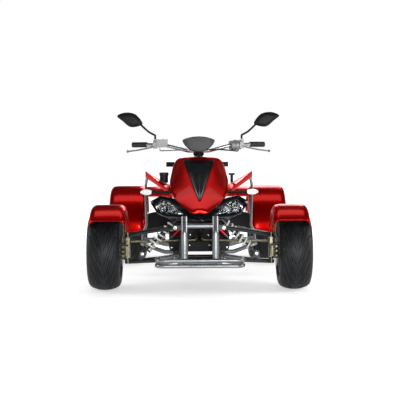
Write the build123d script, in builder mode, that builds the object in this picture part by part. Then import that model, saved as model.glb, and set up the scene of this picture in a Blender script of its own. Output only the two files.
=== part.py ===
from build123d import *
import os
from math import cos, hypot, radians, sin, sqrt, tan

# A road-going sports quad bike. Millimetres; the origin is on the ground under the middle of its
# outline, X to the rider's left, Y to the rear and Z up. "Behind" is measured from the front axle.

# Overall sizes
WHEELBASE = 1290.0
FRONT_OVERHANG = 350.0
REAR_OVERHANG = 290.0
FRONT_TRACK = 1060.0
REAR_TRACK = 915.0
FIT = 0.3

# Wheels
FRONT_TYRE_DIAMETER = 440.0
FRONT_TYRE_WIDTH = 180.0
FRONT_RIM_DIAMETER = 254.0
REAR_TYRE_DIAMETER = 460.0
REAR_TYRE_WIDTH = 215.0
REAR_RIM_DIAMETER = 254.0
TYRE_WALL = 8.0
TYRE_CROWN = 14.0
TYRE_SHOULDER_INSET = 22.0
BEAD_INSET = 18.0
BEAD_THICKNESS = 14.0
RIM_FLANGE_HEIGHT = 12.0
RIM_WALL = 5.0
RIM_DISH_OFFSET = 24.0
RIM_DISH_THICKNESS = 9.0
RIM_SPOKES = 5
HUB_RADIUS = 32.0
HUB_FLANGE_RADIUS = 62.0
HUB_FLANGE_THICKNESS = 9.0
SPINDLE_RADIUS = 15.0
DISC_RADIUS = 88.0
DISC_THICKNESS = 4.0
DISC_GAP = 6.0

# Steering geometry
KINGPIN_INSET = 126.0
CASTER = 7.7
UPPER_BALL_Z = 307.0
LOWER_BALL_Z = 158.0
BALL_SOCKET_RADIUS = 16.0
BALL_SOCKET_HEIGHT = 20.0
BALL_STUD_RADIUS = 7.0
STEERING_ARM_LENGTH = 90.0
STEERING_ARM_Z = 293.0
TIE_ROD_DROP = 20.0
TIE_ROD_RADIUS = 7.0
STEM_FOOT_BEHIND = 60.0
STEM_FOOT_Z = 312.0
STEM_RAKE = 28.9
STEM_LENGTH = 535.0
STEM_RADIUS = 12.0
PITMAN_LENGTH = 70.0
PITMAN_SPREAD = 16.0
PITMAN_THICKNESS = 8.0
TIE_BALL_RADIUS = 11.0
TIE_BALL_HALF = 8.0
TIE_BALL_GAP = 2.0
TIE_EYE_RADIUS = 12.0
TIE_PIN_RADIUS = 5.0

# Frame
RAIL_DIAMETER = 28.0
LOWER_RAIL_X = 108.0
LOWER_RAIL_Z = 172.0
WAIST_X = 140.0
TOWER_X = 80.0
TOWER_Z = 404.0
POST_DIAMETER = 25.0
ARM_FRONT_BEHIND = -55.0
ARM_REAR_BEHIND = 65.0
SEAT_RAIL_Z = 580.0
SEAT_RAIL_X = 105.0
RAIL_END_PAST = 110.0
PIVOT_BEHIND = 760.0
RADIATOR_BEHIND = 205.0
RADIATOR_Z = 300.0
PIVOT_Z = 235.0
PIVOT_PLATE_X = 130.0
PLATE = 5.0
BOLT_RADIUS = 6.0

# Suspension
UPPER_ARM_X = 135.0
UPPER_ARM_Z = 354.0
LOWER_ARM_X = 140.0
LOWER_ARM_Z = 175.0
UPPER_ARM_TUBE = 22.0
LOWER_ARM_TUBE = 24.0
EYE_RADIUS = 15.0
EYE_LENGTH = 24.0
ARM_EYE_LENGTH = 34.0
SHOCK_BEHIND = 12.0
SHOCK_TOP_X = 112.0
SHOCK_TOP_Z = 406.0
SHOCK_FOOT_INSET = 82.0
SHOCK_FOOT_Z = 200.0
REAR_SHOCK_TOP_BEHIND = 900.0
REAR_SHOCK_TOP_Z = 520.0
REAR_SHOCK_FOOT_BEHIND = 1020.0
REAR_SHOCK_FOOT_Z = 300.0
SPRING_START = 48.0
SPRING_END = 40.0
SPRING_RADIUS = 23.0
SPRING_WIRE = 7.0
SPRING_TURNS = 7
DAMPER_RADIUS = 15.0
ROD_RADIUS = 6.0
RESERVOIR_RADIUS = 18.0

# Bumper
BUMPER_X = 83.0
BUMPER_TUBE = 35.0
BUMPER_SLEEVE = 1.0
BUMPER_FOOT = 6.0
LOOP_X = 242.0
LOOP_TUBE = 22.0

# Bonnet, lamps and indicators
NOSE_WALL = 4.0
NOSE_END = 290.0
LAMP_SWEEP = 26.0
LAMP_LEAN = 20.0
LAMP_BEHIND = -205.0
LAMP_Z = 470.0
LAMP_DEPTH = 80.0
INDICATOR_BEHIND = -35.0
INDICATOR_Z = 551.0
INDICATOR_STALK = 7.0
INDICATOR_ROOT_X = 145.0
INDICATOR_LENS_X = 266.0
INDICATOR_TIP_X = 327.0
INDICATOR_HEIGHT = 30.0
INDICATOR_DEPTH = 34.0
REAR_INDICATOR_PAST = 140.0
REAR_INDICATOR_Z = 655.0
WING_LIP = 8.0

# Engine, cooling, exhaust and chain
SPLASH_BEHIND = 172.0
SPLASH_X = 175.0
SPLASH_BOTTOM = 195.0
SPLASH_TOP = 462.0
SPLASH_WALL = 4.0
RADIATOR_X = 135.0
RADIATOR_HEIGHT = 150.0
RADIATOR_DEPTH = 34.0
ENGINE_FRONT = 415.0
ENGINE_BACK = 720.0
ENGINE_TOP = 390.0
CYLINDER_RADIUS = 62.0
AIRBOX_X = 92.0
INTAKE_Z = 480.0
INTAKE_RADIUS = 24.0
EXHAUST_PORT_BEHIND = 392.0
EXHAUST_PORT_Z = 470.0
EXHAUST_PIPE = 38.0
SILENCER_X = -215.0
SILENCER_START = 925.0
SILENCER_PAST = 110.0
SILENCER_RADIUS = 52.0
SPROCKET_X = 105.0
ENGINE_SPROCKET_BEHIND = 680.0
ENGINE_SPROCKET_Z = 243.0
ENGINE_SPROCKET_RADIUS = 32.0
AXLE_SPROCKET_RADIUS = 92.0
CHAIN_HEIGHT = 14.0
CHAIN_WIDTH = 12.0
AXLE_RADIUS = 17.5
CARRIER_RADIUS = 46.0
CARRIER_HALF = 78.0

# Handlebar and what it carries
BAR_RADIUS = 11.0
GRIP_RADIUS = 16.0
POD_BACK = -19.6
POD_DEPTH = 45.0
PERCH_TOP = 57.6
PERCH_X = 258.0
MIRROR_STEM_BACK = 69.4
THROTTLE_RADIUS = 28.0
CABLE_DIAMETER = 7.0

# Foot rests and side bars
PEG_BEHIND = 600.0
SIDE_BAR_X = 338.0
SIDE_BAR_Z = 222.0
SIDE_BAR_DIAMETER = 25.0
GUARD_X = 312.0
GUARD_DIAMETER = 16.0

# Fenders
FENDER_WALL = 4.0
FENDER_CORNER = 34.0
STAY_DIAMETER = 11.0
FRONT_FENDER_RADIUS = 257.0
FRONT_FENDER_SKIRT = 44.0
FRONT_FENDER_INSIDE = 121.0
FRONT_FENDER_OUTSIDE = 76.0
REAR_FENDER_RADIUS = 281.0
REAR_FENDER_SKIRT = 50.0
REAR_FENDER_INSIDE = 113.5
REAR_FENDER_OUTSIDE = 132.5

FRONT_AXLE_Y = (FRONT_OVERHANG - WHEELBASE - REAR_OVERHANG) / 2
REAR_AXLE_Y = FRONT_AXLE_Y + WHEELBASE
FRONT_AXLE_Z = FRONT_TYRE_DIAMETER / 2
REAR_AXLE_Z = REAR_TYRE_DIAMETER / 2
FRONT_WHEEL_X = FRONT_TRACK / 2
REAR_WHEEL_X = REAR_TRACK / 2
KINGPIN_X = FRONT_WHEEL_X - KINGPIN_INSET
SHOCK_FOOT_X = KINGPIN_X - SHOCK_FOOT_INSET
RAIL_END = WHEELBASE + RAIL_END_PAST

KINGPIN_DIR = Vector(0, sin(radians(CASTER)), cos(radians(CASTER)))
STEM_DIR = Vector(0, sin(radians(STEM_RAKE)), cos(radians(STEM_RAKE)))
STEM_FOOT = Vector(0, FRONT_AXLE_Y + STEM_FOOT_BEHIND, STEM_FOOT_Z)

CLAMP = STEM_FOOT + STEM_DIR * STEM_LENGTH

os.makedirs("parts", exist_ok=True)


def at(x, behind, z):
    """A point given by its distance behind the front axle."""
    return Vector(x, FRONT_AXLE_Y + behind, z)


def on_kingpin(z):
    """The point of the left kingpin axis at the given height."""
    return Vector(KINGPIN_X, FRONT_AXLE_Y + (z - FRONT_AXLE_Z) * tan(radians(CASTER)), z)


def on_stem(distance):
    """The point of the steering axis at the given distance above its foot."""
    return STEM_FOOT + STEM_DIR * distance


def at_bar(x, back, rise):
    """A point given by its distance behind and above the handlebar clamp."""
    return CLAMP + Vector(x, back, rise)


def bar(start, end, radius, mode=Mode.ADD):
    """Adds a straight round bar between two points."""
    with BuildSketch(Plane(origin=start, z_dir=end - start)) as ring:
        Circle(radius)
    extrude(to_extrude=ring.sketch, amount=(end - start).length, mode=mode)


def tube(points, diameter, bend, mode=Mode.ADD):
    """Adds a round tube bent round the given points."""
    with BuildLine() as route:
        FilletPolyline(*points, radius=bend)
    with BuildSketch(Plane(origin=route.line @ 0, z_dir=route.line % 0)) as ring:
        Circle(diameter / 2)
    sweep(sections=ring.sketch, path=route.line, mode=mode)


def block(x_range, y_range, z_range, mode=Mode.ADD):
    """Adds a box between the given limits."""
    centre = Vector(sum(x_range) / 2, sum(y_range) / 2, sum(z_range) / 2)
    size = [high - low for low, high in (x_range, y_range, z_range)]
    with Locations(centre):
        Box(*size, mode=mode)


def behind(*distances):
    """Y values of distances behind the front axle."""
    return tuple(FRONT_AXLE_Y + distance for distance in distances)


def behind_bar(*distances):
    """Y values of distances behind the handlebar clamp."""
    return tuple(CLAMP.Y + distance for distance in distances)


def above_bar(*distances):
    """Z values of distances above the handlebar clamp."""
    return tuple(CLAMP.Z + distance for distance in distances)


def tyre(centre, width, diameter, rim_diameter):
    """Adds a hollow tyre with its beads on a rim of the given diameter."""
    half = width / 2
    bead = half - BEAD_INSET
    rim = rim_diameter / 2
    crown = diameter / 2
    shoulder = crown - TYRE_CROWN
    tread = half - TYRE_SHOULDER_INSET
    cheek = (rim + RIM_FLANGE_HEIGHT + shoulder) / 2
    with BuildSketch(Plane(origin=centre, x_dir=(1, 0, 0), z_dir=(0, -1, 0))) as profile:
        with BuildLine():
            Line((bead, rim), (bead, rim + RIM_FLANGE_HEIGHT))
            ThreePointArc((bead, rim + RIM_FLANGE_HEIGHT), (half, cheek), (tread, shoulder))
            ThreePointArc((tread, shoulder), (0, crown), (-tread, shoulder))
            ThreePointArc((-tread, shoulder), (-half, cheek), (-bead, rim + RIM_FLANGE_HEIGHT))
            heel = bead - BEAD_THICKNESS
            inner = tread - TYRE_WALL
            roof = shoulder - TYRE_WALL
            ankle = rim + 2 * RIM_FLANGE_HEIGHT
            Polyline(
                (-bead, rim + RIM_FLANGE_HEIGHT), (-bead, rim), (-heel, rim), (-heel, ankle),
            )
            ThreePointArc((-heel, ankle), (-half + TYRE_WALL, cheek + 4), (-inner, roof))
            ThreePointArc((-inner, roof), (0, crown - 2 * TYRE_WALL), (inner, roof))
            ThreePointArc((inner, roof), (half - TYRE_WALL, cheek + 4), (heel, ankle))
            Polyline((heel, ankle), (heel, rim), (bead, rim))
        make_face()
    revolve(profiles=profile.sketch, axis=Axis(centre, (1, 0, 0)))


def rim(centre, width, diameter, hub_bore):
    """Adds a wheel rim whose dish stands towards +X of its middle."""
    edge = width / 2 - BEAD_INSET + FIT
    flange = edge + RIM_WALL
    barrel = diameter / 2 - FIT
    lip = diameter / 2 + RIM_FLANGE_HEIGHT
    inner = barrel - RIM_WALL
    with BuildSketch(Plane(origin=centre, x_dir=(1, 0, 0), z_dir=(0, -1, 0))) as profile:
        with BuildLine():
            Polyline(
                (-flange, inner), (-flange, lip), (-edge, lip), (-edge, barrel),
                (edge, barrel), (edge, lip), (flange, lip), (flange, inner), close=True,
            )
        make_face()
    revolve(profiles=profile.sketch, axis=Axis(centre, (1, 0, 0)))
    dish = centre + Vector(RIM_DISH_OFFSET, 0, 0)
    window_inner = HUB_FLANGE_RADIUS + 6
    window_depth = inner - window_inner - 6
    with BuildSketch(Plane.YZ.offset(dish.X)) as face:
        with Locations((dish.Y, dish.Z)):
            Circle(inner + 1)
            Circle(hub_bore, mode=Mode.SUBTRACT)
            with PolarLocations(window_inner + window_depth / 2, RIM_SPOKES):
                RectangleRounded(window_depth, inner * 0.72, 9, mode=Mode.SUBTRACT)
    extrude(to_extrude=face.sketch, amount=RIM_DISH_THICKNESS)


def arch(centre, radius, x_range, corner, skirt, from_angle, to_angle):
    """Adds a fender over a wheel, from an angle ahead of vertical to one behind it."""
    lean = radians(from_angle)
    outward = Vector(0, -sin(lean), cos(lean))
    plane = Plane(origin=centre, x_dir=(1, 0, 0), z_dir=Vector(1, 0, 0).cross(outward))
    x_in = x_range[0] - centre.X
    x_out = x_range[1] - centre.X
    with BuildSketch(plane) as profile:
        for inset, mode in ((0, Mode.ADD), (FENDER_WALL, Mode.SUBTRACT)):
            bottom = radius - skirt - inset
            top = radius - inset
            with BuildSketch(mode=Mode.PRIVATE) as layer:
                with Locations(((x_in + x_out) / 2, (bottom + top) / 2)):
                    Rectangle(x_out - x_in - 2 * inset, top - bottom)
                if corner:
                    fillet(layer.vertices().group_by(Axis.Y)[-1], corner - inset)
            if skirt > inset:
                add(layer.sketch, mode=mode)
    revolve(
        profiles=profile.sketch, axis=Axis(centre, (-1, 0, 0)),
        revolution_arc=from_angle + to_angle,
    )


def shock(top, foot, side):
    """Adds a damper between two eye centres, with the reservoir on the given side."""
    run = (foot - top).normalized()
    bar(top, top + run * 30, ROD_RADIUS + 5)
    bar(top + run * 28, top + run * 165, DAMPER_RADIUS)
    bar(top + run * 160, foot - run * 10, ROD_RADIUS)
    bar(top + run * SPRING_START, top + run * (SPRING_START - 6), SPRING_RADIUS + 4)
    bar(foot - run * SPRING_END, foot - run * (SPRING_END - 6), SPRING_RADIUS + 4)
    tank_top = top + run * 22 + side * (SPRING_RADIUS + SPRING_WIRE / 2 + RESERVOIR_RADIUS + 4)
    bar(tank_top, tank_top + run * 95, RESERVOIR_RADIUS)
    bar(top + run * 30, tank_top + run * 8, 7)


def coil(top, foot, across):
    """Adds a coil spring made of half-turn arcs between the two spring seats."""
    run = (foot - top).normalized()
    start = SPRING_START + FIT + SPRING_WIRE / 2
    length = (foot - top).length - SPRING_START - SPRING_END - 2 * FIT - SPRING_WIRE
    half_pitch = length / (2 * SPRING_TURNS)
    plane = Plane(origin=top + run * start, x_dir=across, z_dir=run)
    reach = hypot(SPRING_RADIUS, half_pitch / 2)
    with BuildLine(plane) as helix:
        for turn in range(2 * SPRING_TURNS):
            sign = 1 if turn % 2 == 0 else -1
            low = turn * half_pitch
            ThreePointArc(
                (sign * SPRING_RADIUS, 0, low),
                (0, sign * reach, low + half_pitch / 2),
                (-sign * SPRING_RADIUS, 0, low + half_pitch),
            )
    with BuildSketch(Plane(origin=helix.line @ 0, z_dir=helix.line % 0)) as wire:
        Circle(SPRING_WIRE / 2)
    sweep(sections=wire.sketch, path=helix.line)


# Front wheels
with BuildPart() as front_tyre_left:
    tyre(
        Vector(FRONT_WHEEL_X, FRONT_AXLE_Y, FRONT_AXLE_Z),
        FRONT_TYRE_WIDTH, FRONT_TYRE_DIAMETER, FRONT_RIM_DIAMETER,
    )

with BuildPart() as front_rim_left:
    rim(
        Vector(FRONT_WHEEL_X, FRONT_AXLE_Y, FRONT_AXLE_Z),
        FRONT_TYRE_WIDTH, FRONT_RIM_DIAMETER, HUB_RADIUS + FIT,
    )

disc_x = KINGPIN_X + 28
hub_end = FRONT_WHEEL_X + RIM_DISH_OFFSET + RIM_DISH_THICKNESS + 8
with BuildPart() as front_hub_left:
    axle = Vector(0, FRONT_AXLE_Y, FRONT_AXLE_Z)
    flange_x = FRONT_WHEEL_X + RIM_DISH_OFFSET - FIT
    bar(axle + Vector(disc_x, 0, 0), axle + Vector(hub_end, 0, 0), HUB_RADIUS)
    bar(axle + Vector(disc_x, 0, 0), axle + Vector(disc_x + DISC_THICKNESS, 0, 0), DISC_RADIUS)
    bar(
        axle + Vector(flange_x - HUB_FLANGE_THICKNESS, 0, 0),
        axle + Vector(flange_x, 0, 0), HUB_FLANGE_RADIUS,
    )
    bar(
        axle + Vector(disc_x, 0, 0), axle + Vector(hub_end - 12, 0, 0),
        SPINDLE_RADIUS + FIT, mode=Mode.SUBTRACT,
    )

# Knuckles with the fender stays
front_fender_x = (FRONT_WHEEL_X - FRONT_FENDER_INSIDE, FRONT_WHEEL_X + FRONT_FENDER_OUTSIDE)
stay_x = KINGPIN_X + 24
stay_side = front_fender_x[0] + FENDER_CORNER - (stay_x - STAY_DIAMETER / 2)
stay_reach = sqrt((FENDER_CORNER - FENDER_WALL) ** 2 - stay_side ** 2) - 2 * FIT
stay_reach = stay_reach + FRONT_FENDER_RADIUS - FENDER_CORNER
steer_back = Vector(0, cos(radians(CASTER)), -sin(radians(CASTER)))
arm_root = on_kingpin(STEERING_ARM_Z)
arm_tip = arm_root + steer_back * STEERING_ARM_LENGTH
tie_outer = arm_tip - KINGPIN_DIR * TIE_ROD_DROP
with BuildPart() as knuckle_left:
    foot = on_kingpin(LOWER_BALL_Z + 22)
    head = on_kingpin(UPPER_BALL_Z - 15)
    with BuildSketch(Plane(origin=foot, x_dir=(1, 0, 0), z_dir=KINGPIN_DIR)) as upright:
        RectangleRounded(30, 42, 8)
    extrude(to_extrude=upright.sketch, amount=(head - foot).length)
    bar(on_kingpin(LOWER_BALL_Z - 12), on_kingpin(UPPER_BALL_Z + 14), BALL_STUD_RADIUS)
    bar(
        Vector(KINGPIN_X, FRONT_AXLE_Y, FRONT_AXLE_Z),
        Vector(disc_x - DISC_GAP, FRONT_AXLE_Y, FRONT_AXLE_Z), 26,
    )
    bar(
        Vector(KINGPIN_X, FRONT_AXLE_Y, FRONT_AXLE_Z),
        Vector(hub_end - 14, FRONT_AXLE_Y, FRONT_AXLE_Z), SPINDLE_RADIUS,
    )
    bar(arm_root - KINGPIN_DIR * 9, arm_tip - KINGPIN_DIR * 0.5, 8)
    bar(arm_tip - KINGPIN_DIR * 7, arm_tip + KINGPIN_DIR * 7, 13)
    bar(arm_tip, arm_tip - KINGPIN_DIR * (TIE_ROD_DROP + 10), TIE_PIN_RADIUS)
    block((KINGPIN_X - 7, KINGPIN_X + 3.7), behind(-104, 0), (200, 256))
    for stay_knee, stay_angle in ((-71, -23.3), (75, 24.5)):
        lean = radians(stay_angle)
        tube(
            (
                on_kingpin(270) + Vector(8, 0, 0), at(KINGPIN_X + 16, stay_knee, 300),
                at(stay_x, stay_reach * sin(lean), FRONT_AXLE_Z + stay_reach * cos(lean)),
            ),
            STAY_DIAMETER, 24,
        )

with BuildPart() as calliper_left:
    block((KINGPIN_X + 4, KINGPIN_X + 42), behind(-112, -58), (186, 272))
    block(
        (disc_x - 2, disc_x + DISC_THICKNESS + 2), behind(-100, -40), (170, 290),
        mode=Mode.SUBTRACT,
    )

with BuildPart() as front_fender_left:
    arch(
        Vector(FRONT_WHEEL_X, FRONT_AXLE_Y, FRONT_AXLE_Z), FRONT_FENDER_RADIUS, front_fender_x,
        FENDER_CORNER, FRONT_FENDER_SKIRT, 44, 62,
    )

# Tie rods
plate_back = Vector(0, cos(radians(STEM_RAKE)), -sin(radians(STEM_RAKE)))
tie_inner = STEM_FOOT + plate_back * PITMAN_LENGTH
tie_inner = tie_inner - STEM_DIR * (PITMAN_THICKNESS / 2 + TIE_BALL_GAP + TIE_BALL_HALF)
tie_inner = tie_inner + Vector(PITMAN_SPREAD, 0, 0)
with BuildPart() as tie_rod_left:
    tie_run = (tie_inner - tie_outer).normalized()
    bar(tie_outer - KINGPIN_DIR * 7, tie_outer + KINGPIN_DIR * 7, TIE_EYE_RADIUS)
    bar(
        tie_outer - KINGPIN_DIR * 7, tie_outer + KINGPIN_DIR * 7, TIE_PIN_RADIUS + FIT,
        mode=Mode.SUBTRACT,
    )
    bar(tie_outer + tie_run * (TIE_EYE_RADIUS - 2), tie_inner, TIE_ROD_RADIUS)
    bar(tie_inner - STEM_DIR * TIE_BALL_HALF, tie_inner + STEM_DIR * TIE_BALL_HALF, TIE_BALL_RADIUS)

# Suspension arms
arm_pivots = (ARM_FRONT_BEHIND, ARM_REAR_BEHIND)
arm_table = (
    # pivot x, pivot z, ball z, tube diameter
    (UPPER_ARM_X, UPPER_ARM_Z, UPPER_BALL_Z, UPPER_ARM_TUBE),
    (LOWER_ARM_X, LOWER_ARM_Z, LOWER_BALL_Z, LOWER_ARM_TUBE),
)
shock_top = at(SHOCK_TOP_X, SHOCK_BEHIND, SHOCK_TOP_Z)
shock_foot = at(SHOCK_FOOT_X, SHOCK_BEHIND, SHOCK_FOOT_Z)
with BuildPart() as suspension_arms:
    for pivot_x, pivot_z, ball_z, diameter in arm_table:
        ball = on_kingpin(ball_z)
        for pivot in arm_pivots:
            eye = at(pivot_x, pivot, pivot_z)
            bar(
                eye - Vector(0, ARM_EYE_LENGTH / 2, 0), eye + Vector(0, ARM_EYE_LENGTH / 2, 0),
                EYE_RADIUS,
            )
            bar(eye, ball - (ball - eye).normalized() * 6, diameter / 2)
        socket = KINGPIN_DIR * (BALL_SOCKET_HEIGHT / 2)
        bar(ball - socket, ball + socket, BALL_SOCKET_RADIUS)
        bar(ball - socket * 2, ball + socket * 2, BALL_STUD_RADIUS + FIT, mode=Mode.SUBTRACT)
        for pivot in arm_pivots:
            eye = at(pivot_x, pivot, pivot_z)
            bar(
                eye - Vector(0, EYE_LENGTH, 0), eye + Vector(0, EYE_LENGTH, 0),
                BOLT_RADIUS + FIT, mode=Mode.SUBTRACT,
            )
    lug_half = EYE_LENGTH / 2 + FIT
    for lug in (-1, 1):
        y_low = SHOCK_BEHIND + lug * (lug_half + PLATE / 2) - PLATE / 2
        block(
            (SHOCK_FOOT_X - 16, SHOCK_FOOT_X + 16), behind(y_low, y_low + PLATE),
            (LOWER_BALL_Z, SHOCK_FOOT_Z + 12),
        )
    block(
        (SHOCK_FOOT_X - 16, SHOCK_FOOT_X + 16),
        behind(SHOCK_BEHIND - lug_half - PLATE - 26, SHOCK_BEHIND + lug_half + PLATE),
        (LOWER_BALL_Z, LOWER_BALL_Z + 16),
    )
    bar(
        shock_foot - Vector(0, lug_half + PLATE + 4, 0),
        shock_foot + Vector(0, lug_half + PLATE + 4, 0), BOLT_RADIUS,
    )
    mirror(about=Plane.YZ)

# Dampers and coil springs
rear_shock_top = at(0, REAR_SHOCK_TOP_BEHIND, REAR_SHOCK_TOP_Z)
rear_shock_foot = at(0, REAR_SHOCK_FOOT_BEHIND, REAR_SHOCK_FOOT_Z)
with BuildPart() as dampers:
    inboard = (shock_foot - shock_top).cross(Vector(0, 1, 0)).normalized()
    if inboard.X > 0:
        inboard = inboard * -1
    shock(shock_top, shock_foot, inboard)
    for eye in (shock_top, shock_foot):
        bar(eye - Vector(0, EYE_LENGTH / 2, 0), eye + Vector(0, EYE_LENGTH / 2, 0), EYE_RADIUS)
        bar(
            eye - Vector(0, EYE_LENGTH, 0), eye + Vector(0, EYE_LENGTH, 0),
            BOLT_RADIUS + FIT, mode=Mode.SUBTRACT,
        )
    mirror(about=Plane.YZ)
    shock(rear_shock_top, rear_shock_foot, Vector(-1, 0, 0))
    for eye in (rear_shock_top, rear_shock_foot):
        bar(eye - Vector(EYE_LENGTH / 2, 0, 0), eye + Vector(EYE_LENGTH / 2, 0, 0), EYE_RADIUS)
        bar(
            eye - Vector(EYE_LENGTH, 0, 0), eye + Vector(EYE_LENGTH, 0, 0),
            BOLT_RADIUS + FIT, mode=Mode.SUBTRACT,
        )

with BuildPart() as coil_springs:
    coil(shock_top, shock_foot, Vector(0, 1, 0))
    mirror(about=Plane.YZ)
    coil(rear_shock_top, rear_shock_foot, Vector(1, 0, 0))

# Frame
with BuildPart() as frame:
    tube(
        (
            at(LOWER_RAIL_X, -150, LOWER_RAIL_Z), at(LOWER_RAIL_X, 100, LOWER_RAIL_Z),
            at(WAIST_X, 270, LOWER_RAIL_Z), at(WAIST_X, PIVOT_BEHIND - 70, LOWER_RAIL_Z + 4),
            at(WAIST_X, PIVOT_BEHIND + 10, PIVOT_Z),
            at(SEAT_RAIL_X + 6, PIVOT_BEHIND + 30, SEAT_RAIL_Z),
        ),
        RAIL_DIAMETER, 40,
    )
    tube(
        (
            at(TOWER_X, -80, TOWER_Z), at(TOWER_X, 65, TOWER_Z + 8), at(62, 245, SEAT_RAIL_Z),
            at(75, 470, SEAT_RAIL_Z), at(SEAT_RAIL_X, 700, SEAT_RAIL_Z),
            at(SEAT_RAIL_X, RAIL_END, SEAT_RAIL_Z),
        ),
        RAIL_DIAMETER, 40,
    )
    for pivot in arm_pivots:
        bar(at(LOWER_RAIL_X, pivot, LOWER_RAIL_Z), at(TOWER_X, pivot, TOWER_Z), POST_DIAMETER / 2)
        for pivot_x, pivot_z, inner_x in (
            (UPPER_ARM_X, UPPER_ARM_Z, 82), (LOWER_ARM_X, LOWER_ARM_Z, 104),
        ):
            half = ARM_EYE_LENGTH / 2 + FIT
            base = pivot_x - EYE_RADIUS - 1
            block(
                (inner_x, base), behind(pivot - half - PLATE, pivot + half + PLATE),
                (pivot_z - 14, pivot_z + 14),
            )
            for low in (pivot - half - PLATE, pivot + half):
                block(
                    (base - 2, pivot_x + 14), behind(low, low + PLATE),
                    (pivot_z - 14, pivot_z + 14),
                )
            bolt = Vector(0, half + PLATE + 5, 0)
            eye = at(pivot_x, pivot, pivot_z)
            bar(eye - bolt, eye + bolt, BOLT_RADIUS)
    half = EYE_LENGTH / 2 + FIT
    for low in (SHOCK_BEHIND - half - PLATE, SHOCK_BEHIND + half):
        block(
            (TOWER_X, SHOCK_TOP_X + 14), behind(low, low + PLATE),
            (SHOCK_TOP_Z - 16, SHOCK_TOP_Z + 16),
        )
    bolt = Vector(0, half + PLATE + 5, 0)
    bar(shock_top - bolt, shock_top + bolt, BOLT_RADIUS)
    block(
        (PIVOT_PLATE_X, PIVOT_PLATE_X + 8), behind(PIVOT_BEHIND - 45, PIVOT_BEHIND + 40),
        (PIVOT_Z - 40, PIVOT_Z + 55),
    )
    mirror(about=Plane.YZ)
    cross_table = (
        # behind, z, half length, diameter
        (-140, LOWER_RAIL_Z, LOWER_RAIL_X, RAIL_DIAMETER),
        (90, LOWER_RAIL_Z, LOWER_RAIL_X, POST_DIAMETER),
        (440, LOWER_RAIL_Z, WAIST_X, POST_DIAMETER),
        (PIVOT_BEHIND - 80, LOWER_RAIL_Z + 4, WAIST_X, POST_DIAMETER),
        (-70, TOWER_Z, TOWER_X, POST_DIAMETER),
        (REAR_SHOCK_TOP_BEHIND, SEAT_RAIL_Z, SEAT_RAIL_X, POST_DIAMETER),
        (RAIL_END - 10, SEAT_RAIL_Z, SEAT_RAIL_X, POST_DIAMETER),
    )
    for cross_behind, cross_z, reach, diameter in cross_table:
        bar(at(-reach, cross_behind, cross_z), at(reach, cross_behind, cross_z), diameter / 2)
    for distance, reach in ((40, 88), (225, 69)):
        centre = on_stem(distance)
        bar(centre - Vector(reach, 0, 0), centre + Vector(reach, 0, 0), 11)
        bar(centre - STEM_DIR * 18, centre + STEM_DIR * 18, 22)
    bar(on_stem(20), on_stem(360), STEM_RADIUS + FIT, mode=Mode.SUBTRACT)
    for side in (-1, 1):
        low = side * (EYE_LENGTH / 2 + FIT + PLATE / 2) - PLATE / 2
        block(
            (low, low + PLATE), behind(REAR_SHOCK_TOP_BEHIND - 16, REAR_SHOCK_TOP_BEHIND + 16),
            (REAR_SHOCK_TOP_Z - 16, SEAT_RAIL_Z),
        )
    reach = EYE_LENGTH / 2 + PLATE + 4
    bar(rear_shock_top - Vector(reach, 0, 0), rear_shock_top + Vector(reach, 0, 0), BOLT_RADIUS)
    pivot_end = Vector(PIVOT_PLATE_X + 16, 0, 0)
    pivot_centre = at(0, PIVOT_BEHIND, PIVOT_Z)
    bar(pivot_centre - pivot_end, pivot_centre + pivot_end, 9)
    for side in (-1, 1):
        radiator_foot = at(side * 124, RADIATOR_BEHIND, LOWER_RAIL_Z)
        bar(radiator_foot, at(side * 124, RADIATOR_BEHIND, RADIATOR_Z - FIT), 8)
        bar(
            Vector(side * SEAT_RAIL_X, REAR_AXLE_Y, SEAT_RAIL_Z),
            Vector(side * SEAT_RAIL_X, REAR_AXLE_Y, REAR_AXLE_Z + REAR_FENDER_RADIUS + FIT), 10,
        )

# Skid plate
with BuildPart() as skid_plate:
    plate_top = LOWER_RAIL_Z - RAIL_DIAMETER / 2 - FIT
    with BuildSketch(Plane.YZ.offset(-88)) as outline:
        with BuildLine():
            Polyline(
                (FRONT_AXLE_Y - 175, plate_top + 30), (FRONT_AXLE_Y - 160, plate_top),
                (FRONT_AXLE_Y + 300, plate_top), (FRONT_AXLE_Y + 300, plate_top - 5),
                (FRONT_AXLE_Y - 163, plate_top - 5), (FRONT_AXLE_Y - 180, plate_top + 28),
                close=True,
            )
        make_face()
    extrude(to_extrude=outline.sketch, amount=176)

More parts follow.
